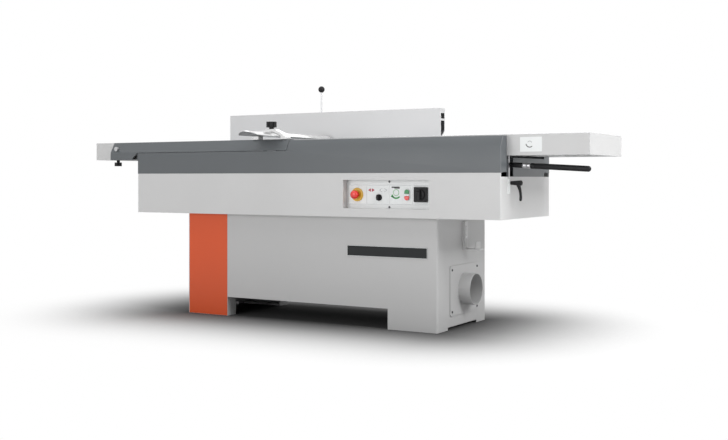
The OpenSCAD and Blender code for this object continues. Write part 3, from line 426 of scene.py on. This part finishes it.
# %% Lift lever
lever_low, lever_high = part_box("lift_lever")
hub_r = 24
LEVER_LEAN = 3.2
lever_place = Matrix.Translation((lever_low.x + hub_r * MM, middle("lift_lever").y, lever_high.z - hub_r * MM))
lever_place = lever_place @ Matrix.Rotation(radians(90 + LEVER_LEAN), 4, "Y")
rod = [(20, 0, 0), (20, 10, 0), (262, 10, 0), (264, 10.8, 0), (296, 10.8, 0), (298, 10, 0), (299, 8, 1),
       (300, 10.4, 1),
       (302, 11.4, 1), (314, 11.4, 1), (316, 10.2, 1), (318, 10.2, 1), (320, 11.4, 1), (333, 11.4, 1),
       (335, 10.4, 1),
       (335.6, 6, 1), (575, 6, 1), (575, 0, 1)]
rod_piece = turned("lift_lever_rod", rod, lever_place, [finishes["black_plastic"], finishes["steel"]])
seat(rod_piece, "lever_shaft", "black_plastic", "lift_lever")
hub = [(-10, 15.2), (-10, 22.4), (-8.6, 24), (8.6, 24), (10, 22.4), (10, 15.2), (-10, 15.2)]
hub_place = Matrix.Translation((lever_low.x + hub_r * MM, middle("lift_lever").y,
                                lever_high.z - hub_r * MM)) @ TO_OPERATOR
seat(turned("lift_lever_hub", hub, hub_place, [finishes["black_plastic"]]), "lever_shaft", "black_plastic")
grip = [(336, 6.4), (336, 10.6), (337.4, 11.8), (341, 12), (349, 12), (350, 11.3), (351.5, 11.3), (352.5, 12)]
grip += [(566, 12)] + arc(578, 0, 12, 80, 0, steps=8)
grip_piece = turned("lift_lever_grip", grip[:-1] + [(grip[-1][0], 0)], lever_place, [finishes["black_plastic"]])
seat(grip_piece, "lever_shaft", "black_plastic", "lever_grip")


# %% [markdown]
# The small clamping lever on the casing's end is die-cast: a ribbed cone on the screw, and an
# arm that curves down and thickens at its tip. A tube that follows a path, with its own radius
# at each step, makes the arm.

# %% Clamping lever
def along_path(name, path, radii, material, parts=20, flatten=1.0):
    """A tube through the points, in millimetres, with a flat cap at each end and a radius at each point."""
    bm = bmesh.new()
    points = [Vector(p) for p in path]
    rings = []
    for i, (p, r) in enumerate(zip(points, radii)):
        ahead = (points[min(i + 1, len(points) - 1)] - points[max(i - 1, 0)]).normalized()
        side = ahead.cross(Vector((0, 1, 0))).normalized()
        deep = side.cross(ahead).normalized()
        rings.append([bm.verts.new(p + side * r * cos(tau * k / parts) + deep * r * flatten * sin(tau * k / parts))
                      for k in range(parts)])
    for a, b in zip(rings, rings[1:]):
        for i in range(parts):
            j = (i + 1) % parts
            bm.faces.new((a[i], a[j], b[j], b[i]))
    bm.faces.new(rings[0])
    bm.faces.new(rings[-1])
    bmesh.ops.recalc_face_normals(bm, faces=bm.faces)
    mesh = bpy.data.meshes.new(name)
    bm.to_mesh(mesh)
    bm.free()
    mesh.transform(Matrix.Scale(MM, 4))
    mesh.materials.append(material)
    mesh.shade_smooth()
    mesh.set_sharp_from_angle(angle=radians(50))
    piece = bpy.data.objects.new(name, mesh)
    bpy.context.scene.collection.objects.link(piece)
    return piece


lock_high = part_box("lock_lever")[1]
casing_end_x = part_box("casing_ends")[1].x
lock_axis = Vector((casing_end_x, middle("lock_lever").y, lock_high.z - 0.011))
cone = [(-13, 0), (-13, 5), (0.6, 5), (0.6, 7), (1.6, 8), (10, 8), (12, 8.6), (28, 9.8), (44, 11), (47, 10.6),
        (49, 9), (49, 6),
        (46.5, 5.4), (46.5, 0)]
seat(turned("clamping_lever_hub", cone, Matrix.Translation(lock_axis) @ TO_RIGHT, [finishes["black_plastic"]],
            parts=36),
     "lock", "black_plastic", "lock_lever")
start = lock_axis / MM
arm_steps = [(30, 2, 8.5), (33, -7, 8.6), (37, -17, 7.4), (40.5, -29, 6.3), (43, -42, 5.7), (44, -54, 5.6),
             (43.8, -64, 6.0),
             (43.2, -70, 5.8), (42.8, -73.4, 4.4), (42.6, -75, 2.0)]
arm_piece = along_path("clamping_lever_arm", [start + Vector((x, 0, z)) for x, z, _ in arm_steps],
                       [r for *_, r in arm_steps], finishes["black_plastic"], flatten=0.8)
seat(arm_piece, "lock", "black_plastic")
print("clamping lever at", tuple(round(v, 3) for v in lock_axis))


# %% [markdown]
# The control plate carries printed film labels. Print has no thickness to speak of, but a thin
# raised shape gives the same clean edge as ink, and it stays on its label from every side. Each
# symbol is a flat outline in the plate's own left-right and up-down directions.

# %% Printed symbols
def flat_shape(name, outline, front_y, depth, material):
    """A thin plate from an outline of (x, z) points in metres, standing out from front_y to the operator."""
    bm = bmesh.new()
    back = [bm.verts.new((x, front_y, z)) for x, z in outline]
    front = [bm.verts.new((x, front_y - depth, z)) for x, z in outline]
    count = len(outline)
    bm.faces.new(back)
    bm.faces.new(list(reversed(front)))
    for i in range(count):
        j = (i + 1) % count
        bm.faces.new((back[j], back[i], front[i], front[j]))
    bmesh.ops.recalc_face_normals(bm, faces=bm.faces)
    mesh = bpy.data.meshes.new(name)
    bm.to_mesh(mesh)
    bm.free()
    mesh.materials.append(material)
    piece = bpy.data.objects.new(name, mesh)
    bpy.context.scene.collection.objects.link(piece)
    return piece


def joined(name, pieces):
    """Several pieces made one, keeping their finishes."""
    bm = bmesh.new()
    materials = []
    for piece in pieces:
        first = len(bm.faces)
        bm.from_mesh(piece.data)
        bm.faces.ensure_lookup_table()
        for face in bm.faces[first:]:
            material = piece.data.materials[face.material_index]
            if material not in materials:
                materials.append(material)
            face.material_index = materials.index(material)
    mesh = bpy.data.meshes.new(name)
    bm.to_mesh(mesh)
    bm.free()
    for material in materials:
        mesh.materials.append(material)
    for piece in pieces:
        bpy.data.objects.remove(piece)
    made = bpy.data.objects.new(name, mesh)
    bpy.context.scene.collection.objects.link(made)
    return made


def curved_stroke(centre, radius, width, start, end, steps=24):
    """The outline of a stroke along a circle, angles in degrees, centre and sizes in metres."""
    angles = [radians(start + (end - start) * i / steps) for i in range(steps + 1)]
    outer = [(centre[0] + (radius + width / 2) * cos(a),
              centre[1] + (radius + width / 2) * sin(a)) for a in angles]
    inner = [(centre[0] + (radius - width / 2) * cos(a),
              centre[1] + (radius - width / 2) * sin(a)) for a in angles]
    return outer + inner[::-1]


labels_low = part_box("control_labels")[0]
label_front = labels_low.y
panel_x = labels_low.x - 0.012
panel_z = labels_low.z + 0.044
INK = 0.00025


def on_panel(points):
    """Points in millimetres from the plate's left edge and mid height, as places in metres."""
    return [(panel_x + x * MM, panel_z + z * MM) for x, z in points]


def triangle(x, z, size, way):
    """A filled arrow head that points left (-1) or right (1)."""
    return on_panel([(x, z + size * 0.5), (x, z - size * 0.5), (x + way * size * 0.9, z)])


def chevron(x, z, size, way):
    """An open arrow head that points left (-1) or right (1)."""
    tip = x + way * size * 0.8
    return on_panel([(x, z + size * 0.5), (tip, z), (x, z - size * 0.5), (x + way * 2, z - size * 0.5),
                     (tip + way * 2.6, z), (x + way * 2, z + size * 0.5)])


ink = []
for name, outline, material in (
        ("left_red", triangle(124, 18, 16, -1), print_red), ("right_red", triangle(129, 18, 16, 1), print_red),
        ("left_grey", chevron(182, 18, 16, -1), print_grey),
                                ("right_grey", chevron(190, 18, 16, 1), print_grey),
        ("board", on_panel([(228, 34), (268, 34), (268, 25), (243, 25), (240, 28), (228, 28)]), print_black)):
    ink.append(flat_shape(name, outline, label_front, INK, material))
ring_centre = on_panel([(250, 8)])[0]
for half in (0, 180):
    ink.append(flat_shape("ring", curved_stroke(ring_centre, 0.0135, 0.0034, half, half + 180), label_front,
                          INK, print_pale_green))
ink.append(flat_shape("turn", curved_stroke(ring_centre, 0.0245, 0.0068, 222, 315), label_front, INK,
                      print_green))
tip = on_panel([(231, 1), (223, -11), (241, -13)])
ink.append(flat_shape("turn_head", tip, label_front, INK, print_green))
for left, right in ((12, 100), (105, 214), (220, 328), (336, 420)):
    for z in (-43, 39):
        line = on_panel([(left + 1, z + 0.3), (right - 1, z + 0.3), (right - 1, z - 0.3), (left + 1, z - 0.3)])
        ink.append(flat_shape("rule", line, label_front, INK / 2, print_grey))
seat(joined("printed_symbols", ink), "frame", "white_plastic")

# double push button: a pale bezel with a green upper and a red lower half
start_centre = middle("start_button")
halt_centre = middle("halt_button")
button_x = start_centre.x
button_z = (start_centre.z + halt_centre.z) / 2
rise = (start_centre.z - halt_centre.z) / 2


def half_round(way, radius, flat_at, steps=20):
    """A half disc: way 1 arches up, -1 arches down. flat_at is the height of its straight side."""
    found = []
    for i in range(steps + 1):
        a = pi * i / steps
        found.append((button_x + radius * cos(a), button_z + way * (rise + radius * sin(a))))
    found += [(button_x - radius, button_z + way * flat_at), (button_x + radius, button_z + way * flat_at)]
    return found


def edged(piece, width, steps=2):
    """A piece whose corners are rounded off, width in millimetres."""
    piece.data.shade_smooth()
    piece.data.set_sharp_from_angle(angle=radians(40))
    bevel = piece.modifiers.new("bevel", "BEVEL")
    bevel.width = width * MM
    bevel.segments = steps
    bevel.limit_method = "ANGLE"
    bevel.angle_limit = radians(40)
    bevel.harden_normals = True
    name = piece.name
    piece.name = name + "_rough"
    return plain_mesh(piece, name)


bezel_arch = half_round(1, 0.0135, 0.0)[:-2] + half_round(-1, 0.0135, 0.0)[:-2][::-1]
bezel = edged(flat_shape("button_bezel", bezel_arch, label_front, 0.0035, plate_metal), 0.7)
band = [(button_x - 0.011, button_z + 0.0042), (button_x + 0.011, button_z + 0.0042),
        (button_x + 0.011, button_z - 0.0042), (button_x - 0.011, button_z - 0.0042)]
window = edged(flat_shape("button_window", band, label_front, 0.0072, finishes["white_plastic"]), 0.8)
seat(joined("double_button_bezel", [bezel, window]), "frame", "white_plastic")
for name, way, slot, body, node in (("start_cap", 1, "green_plastic", "start", "start_button"),
                                    ("halt_cap", -1, "red_plastic", "halt", "halt_button")):
    cap = flat_shape(name, half_round(way, 0.011, 0.0048), label_front + 0.004, 0.0122, finishes[slot])
    seat(edged(cap, 1.4, steps=3), body, slot, node)

# main switch: a round knob with a grip bar and a pale mark
knob_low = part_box("main_switch_knob")[0]
switch_centre = middle("main_switch_knob")
body_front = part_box("main_switch_body")[0].y
knob_place = Matrix.Translation((switch_centre.x, body_front, switch_centre.z)) @ TO_OPERATOR
disc = [(-8, 0), (-8, 9), (0.3, 9), (0.3, 22), (4.2, 22), (5.6, 21), (6.2, 19), (6.2, 0)]
disc_piece = turned("switch_disc", disc, knob_place, [finishes["black_plastic"]])
bar_outline = [(switch_centre.x + x * MM, switch_centre.z + z * MM) for x,
               z in ((-6, -19), (-4.5, -22), (4.5, -22), (6, -19),
                                                                               (6, 19), (4.5, 22), (-4.5, 22),
                     (-6, 19))]
bar_piece = edged(flat_shape("switch_bar", bar_outline, body_front - 0.006, 0.014, finishes["black_plastic"]),
                  1.4)
mark = [(switch_centre.x + 3.2 * MM * cos(tau * i / 20),
         switch_centre.z + 15 * MM + 3.2 * MM * sin(tau * i / 20)) for i in range(20)]
mark_piece = flat_shape("switch_mark", mark, knob_low.y + 0.0002, 0.0002, plate_metal)
seat(joined("main_switch_knob_finished", [disc_piece, bar_piece, mark_piece]), "switch", "black_plastic",
     "main_switch_knob")
print("control plate at y", round(plate_y, 4))

# %% [markdown]
# A blank nameplate is screwed to the cabinet: black enamel with one thin pale line round it.

# %% Nameplate
plate_low, plate_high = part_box("blank_nameplate")
field = [(plate_low.x, plate_low.z), (plate_high.x, plate_low.z), (plate_high.x, plate_high.z),
         (plate_low.x, plate_high.z)]
name_pieces = [edged(flat_shape("plate_field", field, plate_high.y, plate_high.y - plate_low.y - 0.0002,
                                plate_black), 0.5)]
line_in, line_w = 0.0004, 0.0016
for x0, z0, x1, z1 in ((plate_low.x + line_in, plate_low.z + line_in, plate_high.x - line_in,
                        plate_low.z + line_in + line_w),
                       (plate_low.x + line_in, plate_high.z - line_in - line_w, plate_high.x - line_in,
                        plate_high.z - line_in),
                       (plate_low.x + line_in, plate_low.z + line_in, plate_low.x + line_in + line_w,
                        plate_high.z - line_in),
                       (plate_high.x - line_in - line_w, plate_low.z + line_in, plate_high.x - line_in,
                        plate_high.z - line_in)):
    name_pieces.append(flat_shape("plate_line", [(x0, z0), (x1, z0), (x1, z1), (x0, z1)],
                                  plate_low.y + 0.0003, 0.0003,
                                  finishes["white_plastic"]))
seat(joined("blank_nameplate_finished", name_pieces), "frame", "dark_paint", "blank_nameplate")

# table label: a white film with a curved stroke
tag_low, tag_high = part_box("table_label")
tag = [flat_shape("tag_film", [(tag_low.x, tag_low.z), (tag_high.x, tag_low.z), (tag_high.x, tag_high.z),
                               (tag_low.x, tag_high.z)],
                  tag_high.y, tag_high.y - tag_low.y - INK, finishes["white_plastic"])]
tag_middle = (tag_low.x + 0.042, tag_low.z + 0.034)
tag.append(flat_shape("tag_stroke", curved_stroke(tag_middle, 0.016, 0.0036, 190, 310), tag_low.y + INK, INK,
                      print_black))
tag.append(flat_shape("tag_line", curved_stroke(tag_middle, 0.009, 0.0016, 20, 160), tag_low.y + INK, INK,
                      print_grey))
seat(joined("table_label_finished", tag), "infeed", "white_plastic", "table_label")


# %% [markdown]
# Screws repeat, so Geometry Nodes place them: a mesh of bare points goes in, one screw is set
# on every point, the copies are made real, and they get their finish. Screws and hexagon bolts
# share the same tree, because only the head that it is given differs.

# %% Screws on points
def screw_tree():
    """A tree that sets a head on each point and gives it its finish."""
    tree = bpy.data.node_groups.new("heads_on_points", "GeometryNodeTree")
    face = tree.interface
    face.new_socket("Geometry", in_out="INPUT", socket_type="NodeSocketGeometry")
    face.new_socket("Head", in_out="INPUT", socket_type="NodeSocketObject")
    face.new_socket("Size", in_out="INPUT", socket_type="NodeSocketFloat")
    face.new_socket("Finish", in_out="INPUT", socket_type="NodeSocketMaterial")
    face.new_socket("Geometry", in_out="OUTPUT", socket_type="NodeSocketGeometry")
    start = tree.nodes.new("NodeGroupInput")
    end = tree.nodes.new("NodeGroupOutput")
    head = tree.nodes.new("GeometryNodeObjectInfo")
    spread = tree.nodes.new("GeometryNodeInstanceOnPoints")
    real = tree.nodes.new("GeometryNodeRealizeInstances")
    paint = tree.nodes.new("GeometryNodeSetMaterial")
    join(tree, start, "Geometry", spread, "Points")
    join(tree, start, "Head", head, "Object")
    join(tree, head, "Geometry", spread, "Instance")
    join(tree, start, "Size", spread, "Scale")
    join(tree, spread, "Instances", real, "Geometry")
    join(tree, real, "Geometry", paint, "Geometry")
    join(tree, start, "Finish", paint, "Material")
    join(tree, paint, "Geometry", end, "Geometry")
    return tree


heads_on_points = screw_tree()


def set_heads(name, points, head, material, size=1.0):
    """One head on every point, as a plain mesh."""
    mesh = bpy.data.meshes.new(name + "_points")
    mesh.from_pydata([tuple(p) for p in points], [], [])
    base = bpy.data.objects.new(name + "_points", mesh)
    bpy.context.scene.collection.objects.link(base)
    modifier = base.modifiers.new("heads", "NODES")
    modifier.node_group = heads_on_points
    sockets = {s.name: s.identifier for s in heads_on_points.interface.items_tree if s.in_out == "INPUT"}
    modifier[sockets["Head"]] = head
    modifier[sockets["Size"]] = size
    modifier[sockets["Finish"]] = material
    piece = plain_mesh(base, name)
    bpy.data.objects.remove(head)
    print(name, len(points), "heads,", len(piece.data.polygons), "faces")
    return piece


def centres(node, axis):
    """The boxes of the separate solids of a node, as (low, high) pairs sorted by their low corners. axis is not
    used.
    """
    mesh = nodes[node].data
    bm = bmesh.new()
    bm.from_mesh(mesh)
    bmesh.ops.remove_doubles(bm, verts=bm.verts, dist=0.00002)
    left, found = set(bm.verts), []
    while left:
        stack, group = [left.pop()], []
        while stack:
            v = stack.pop()
            group.append(v.co.copy())
            for e in v.link_edges:
                w = e.other_vert(v)
                if w in left:
                    left.remove(w)
                    stack.append(w)
        low = Vector([min(c[k] for c in group) for k in range(3)])
        high = Vector([max(c[k] for c in group) for k in range(3)])
        found.append((low, high))
    bm.free()
    return sorted(found, key=lambda box: tuple(round(v, 4) for v in box[0]))


pan_head = [(0, 0), (0, 5.5), (1.6, 5.5), (2.4, 5.0), (3.0, 3.9), (3.2, 2.6), (2.6, 2.3), (1.2, 2.1), (1.2, 0)]
PORT_PLATE_THICK = 0.004
plate_end_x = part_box("dust_port")[0].x + PORT_PLATE_THICK
screw_boxes = centres("panel_screws", 0)
port_points = [Vector((plate_end_x, (a.y + b.y) / 2, (a.z + b.z) / 2)) for a,
               b in screw_boxes if b.x > plate_end_x]
panel_points = [Vector(((a.x + b.x) / 2, plate_y, (a.z + b.z) / 2)) for a,
                b in screw_boxes if b.x <= plate_end_x]
heads = [set_heads("port_screws", port_points,
                   turned("port_head", pan_head, TO_RIGHT, [dark_screw], parts=24), dark_screw),
         set_heads("plate_screws", panel_points,
                   turned("plate_head", pan_head, TO_OPERATOR, [dark_screw], parts=24),
                   dark_screw, size=0.9)]
seat(joined("panel_screws_finished", heads), "frame", "steel", "panel_screws")


def hexagon_head():
    """A hexagon head with a chamfered rim on a washer, pointing along X."""
    head = turned("hexagon", [(1.4, 0), (1.4, 8.6), (7.2, 8.6), (8.2, 7.4), (8.2, 0)], TO_RIGHT,
                  [finishes["steel"]], parts=6)
    washer = turned("washer", [(0, 0), (0, 11.4), (1.0, 11.4), (1.4, 11.0), (1.4, 0)], TO_RIGHT,
                    [finishes["steel"]], parts=36)
    return joined("hexagon_on_washer", [head, washer])


HEX_HEAD_REACH = 8.2 * MM
bolt_points = [Vector((b.x - HEX_HEAD_REACH, (a.y + b.y) / 2, (a.z + b.z) / 2)) for a,
               b in centres("hook_bolts", 0)]
seat(set_heads("hook_bolts_finished", bolt_points, hexagon_head(), finishes["steel"]), "frame", "steel",
     "hook_bolts")

# %% [markdown]
# The depth scale is a white strip with marks every two millimetres, every fifth one longer.
# Marks repeat by a rule, so Geometry Nodes lay them out: a line of points, a thin box on each,
# and a length that depends on the point's number.

# %% Depth scale
def scale_tree():
    """A tree that lays marks up a line, every fifth one longer."""
    tree = bpy.data.node_groups.new("scale_marks", "GeometryNodeTree")
    face = tree.interface
    for name, kind in (("Geometry", "NodeSocketGeometry"), ("Count", "NodeSocketInt"),
                       ("Pitch", "NodeSocketFloat"),
                       ("Length", "NodeSocketFloat"), ("Width", "NodeSocketFloat"),
                       ("Height", "NodeSocketFloat"),
                       ("Start", "NodeSocketVector"), ("Finish", "NodeSocketMaterial")):
        face.new_socket(name, in_out="INPUT", socket_type=kind)
    face.new_socket("Geometry", in_out="OUTPUT", socket_type="NodeSocketGeometry")
    start = tree.nodes.new("NodeGroupInput")
    end = tree.nodes.new("NodeGroupOutput")
    rise = tree.nodes.new("ShaderNodeCombineXYZ")
    line = tree.nodes.new("GeometryNodeMeshLine")
    box = tree.nodes.new("GeometryNodeMeshCube")
    size = tree.nodes.new("ShaderNodeCombineXYZ")
    number = tree.nodes.new("GeometryNodeInputIndex")
    fifth = tree.nodes.new("ShaderNodeMath")
    fifth.operation = "MODULO"
    fifth.inputs[1].default_value = 5.0
    is_long = tree.nodes.new("ShaderNodeMath")
    is_long.operation = "LESS_THAN"
    is_long.inputs[1].default_value = 0.5
    stretch = tree.nodes.new("ShaderNodeMapRange")
    stretch.inputs["To Min"].default_value = 0.55
    stretch.inputs["To Max"].default_value = 1.0
    scale = tree.nodes.new("ShaderNodeCombineXYZ")
    scale.inputs["X"].default_value = 1.0
    scale.inputs["Z"].default_value = 1.0
    spread = tree.nodes.new("GeometryNodeInstanceOnPoints")
    real = tree.nodes.new("GeometryNodeRealizeInstances")
    paint = tree.nodes.new("GeometryNodeSetMaterial")
    join(tree, start, "Pitch", rise, "Z")
    join(tree, start, "Count", line, "Count")
    join(tree, start, "Start", line, "Start Location")
    join(tree, rise, "Vector", line, "Offset")
    join(tree, start, "Height", size, "X")
    join(tree, start, "Length", size, "Y")
    join(tree, start, "Width", size, "Z")
    join(tree, size, "Vector", box, "Size")
    join(tree, number, "Index", fifth, 0)
    join(tree, fifth, 0, is_long, 0)
    join(tree, is_long, 0, stretch, "Value")
    join(tree, stretch, "Result", scale, "Y")
    join(tree, line, "Mesh", spread, "Points")
    join(tree, box, "Mesh", spread, "Instance")
    join(tree, scale, "Vector", spread, "Scale")
    join(tree, spread, "Instances", real, "Geometry")
    join(tree, real, "Geometry", paint, "Geometry")
    join(tree, start, "Finish", paint, "Material")
    join(tree, paint, "Geometry", end, "Geometry")
    return tree


strip_low, strip_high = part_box("depth_scale")
strip_mesh = bpy.data.meshes.new("scale_base")
marks = bpy.data.objects.new("scale_base", strip_mesh)
bpy.context.scene.collection.objects.link(marks)
modifier = marks.modifiers.new("marks", "NODES")
modifier.node_group = scale_tree()
sockets = {s.name: s.identifier for s in modifier.node_group.interface.items_tree if s.in_out == "INPUT"}
mark_start = (strip_high.x - 0.0001, middle("depth_scale").y, strip_low.z + 0.0045)
for name, value in (("Count", 26), ("Pitch", 0.002), ("Length", 0.016), ("Width", 0.0004), ("Height", 0.0002),
                    ("Start", mark_start), ("Finish", print_black)):
    modifier[sockets[name]] = value
marks = plain_mesh(marks, "scale_marks")
strip = clean_copy("depth_scale")
strip.data.materials.clear()
strip.data.materials.append(finishes["white_plastic"])
seat(joined("depth_scale_finished", [strip, marks]), "frame", "white_plastic", "depth_scale")

# %% [markdown]
# Everything that isn't given a shape of its own still gets its finish. The finish goes into the
# material slots of the exact part, whose shape stays as it is.

# %% Finishes of the plain parts
special = {"dust_chute": galvanised, "control_plate": plate_metal, "guide_bar": ground_iron}
for name, obj in nodes.items():
    obj.data.materials.clear()
    obj.data.materials.append(special.get(name, finishes[slot_of_node[name]]))

# %% [markdown]
# Machines are shown on a white sweep under large soft lamps. The floor takes the
# machine's cast shadow, and its own colour also darkens towards the machine's foot: a painted
# shadow. It fades to white further away. The world is white to the eye and a little dimmer as a
# light, so that pale paint keeps its tone.

# %% Floor, world and lamps
foot_low, foot_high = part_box("base_front")[0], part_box("base_rear")[1]
foot_middle = (foot_low + foot_high) / 2
foot_half = (foot_high - foot_low) / 2
# painted shadow: the floor's colour right at the machine's foot
FLOOR_PAINTED_SHADOW = 0.10
FLOOR_FADE = 1.10


def floor_with_painted_shadow():
    """A floor with a painted shadow: dark next to the machine's foot, pale further off, and white away from it."""
    material = bpy.data.materials.new("studio_floor")
    material.use_nodes = True
    tree = material.node_tree
    tree.nodes.clear()
    out = add(tree, "ShaderNodeOutputMaterial")
    paint = add(tree, "ShaderNodeBsdfDiffuse")
    glow = add(tree, "ShaderNodeEmission", Color=(1, 1, 1, 1), Strength=1.0)
    place = add(tree, "ShaderNodeTexCoord")
    centred = add(tree, "ShaderNodeMapping", Location=(-foot_middle.x, -foot_middle.y, 0))
    parts = add(tree, "ShaderNodeSeparateXYZ")
    join(tree, place, "Object", centred, "Vector")
    join(tree, centred, "Vector", parts, "Vector")
    beyond = add(tree, "ShaderNodeCombineXYZ")
    for axis, half in (("X", foot_half.x), ("Y", foot_half.y)):
        far = add(tree, "ShaderNodeMath")
        far.operation = "ABSOLUTE"
        over = add(tree, "ShaderNodeMath")
        over.operation = "SUBTRACT"
        over.inputs[1].default_value = half
        over.use_clamp = False
        kept = add(tree, "ShaderNodeMath")
        kept.operation = "MAXIMUM"
        kept.inputs[1].default_value = 0.0
        join(tree, parts, axis, far, 0)
        join(tree, far, 0, over, 0)
        join(tree, over, 0, kept, 0)
        join(tree, kept, 0, beyond, axis)
    distance = add(tree, "ShaderNodeVectorMath")
    distance.operation = "LENGTH"
    join(tree, beyond, "Vector", distance, 0)
    # painted shadow: the floor's colour ramps from dark at the foot to pale further off
    tone = add(tree, "ShaderNodeMapRange")
    tone.inputs["From Max"].default_value = FLOOR_FADE * 0.8
    tone.inputs["To Min"].default_value = FLOOR_PAINTED_SHADOW
    tone.inputs["To Max"].default_value = 0.90
    join(tree, distance, "Value", tone, "Value")
    join(tree, tone, "Result", paint, "Color")
    fade = add(tree, "ShaderNodeMapRange")
    fade.interpolation_type = "SMOOTHSTEP"
    fade.inputs["From Min"].default_value = 0.10
    fade.inputs["From Max"].default_value = FLOOR_FADE
    join(tree, distance, "Value", fade, "Value")
    path = add(tree, "ShaderNodeLightPath")
    mirrored = add(tree, "ShaderNodeMath")
    mirrored.operation = "MAXIMUM"
    seen = add(tree, "ShaderNodeMath")
    seen.operation = "MAXIMUM"
    both = add(tree, "ShaderNodeMath")
    both.operation = "MULTIPLY"
    mix = add(tree, "ShaderNodeMixShader")
    join(tree, path, "Is Glossy Ray", mirrored, 0)
    join(tree, path, "Is Transmission Ray", mirrored, 1)
    join(tree, path, "Is Camera Ray", seen, 0)
    join(tree, mirrored, 0, seen, 1)
    join(tree, seen, 0, both, 0)
    join(tree, fade, "Result", both, 1)
    join(tree, both, 0, mix, "Fac")
    join(tree, paint, "BSDF", mix, 1)
    join(tree, glow, "Emission", mix, 2)
    join(tree, mix, "Shader", out, "Surface")
    return material


bm = bmesh.new()
bmesh.ops.create_grid(bm, x_segments=1, y_segments=1, size=30)
floor_mesh = bpy.data.meshes.new("floor")
bm.to_mesh(floor_mesh)
bm.free()
floor_mesh.transform(Matrix.Translation((0, 0, floor_z - 0.0002)))
floor = bpy.data.objects.new("floor", floor_mesh)
floor_mesh.materials.append(floor_with_painted_shadow())
bpy.context.scene.collection.objects.link(floor)

AMBIENT = 0.36
world = bpy.data.worlds.new("studio")
bpy.context.scene.world = world
world.use_nodes = True
tree = world.node_tree
tree.nodes.clear()
out = add(tree, "ShaderNodeOutputWorld")
light_sky = add(tree, "ShaderNodeBackground", Color=(1, 1, 1, 1), Strength=AMBIENT)
white_sky = add(tree, "ShaderNodeBackground", Color=(1, 1, 1, 1), Strength=1.0)
path = add(tree, "ShaderNodeLightPath")
mirrored = add(tree, "ShaderNodeMath")
mirrored.operation = "MAXIMUM"
direct = add(tree, "ShaderNodeMath")
direct.operation = "MAXIMUM"
mix = add(tree, "ShaderNodeMixShader")
join(tree, path, "Is Glossy Ray", mirrored, 0)
join(tree, path, "Is Transmission Ray", mirrored, 1)
join(tree, path, "Is Camera Ray", direct, 0)
join(tree, mirrored, 0, direct, 1)
join(tree, direct, 0, mix, "Fac")
join(tree, light_sky, "Background", mix, 1)
join(tree, white_sky, "Background", mix, 2)
join(tree, mix, "Shader", out, "Surface")


def lamp(name, place, target, size, power):
    """A square soft lamp that looks at a target."""
    data = bpy.data.lights.new(name, "AREA")
    data.size = size
    data.energy = power
    obj = bpy.data.objects.new(name, data)
    obj.location = place
    obj.rotation_euler = (Vector(target) - Vector(place)).to_track_quat("-Z", "Y").to_euler()
    bpy.context.scene.collection.objects.link(obj)


centre = (0, middle_y, 0.6)
lamp("top_lamp", (0.0, middle_y - 0.3, 4.2), centre, 3.0, 70)
lamp("front_lamp", (-0.9, middle_y - 5.2, 1.5), centre, 3.2, 88)
lamp("right_lamp", (4.4, middle_y - 0.6, 3.2), (0.5, middle_y, 0.7), 2.4, 165)
lamp("back_lamp", (-1.0, middle_y + 5.0, 2.2), centre, 3.5, 80)
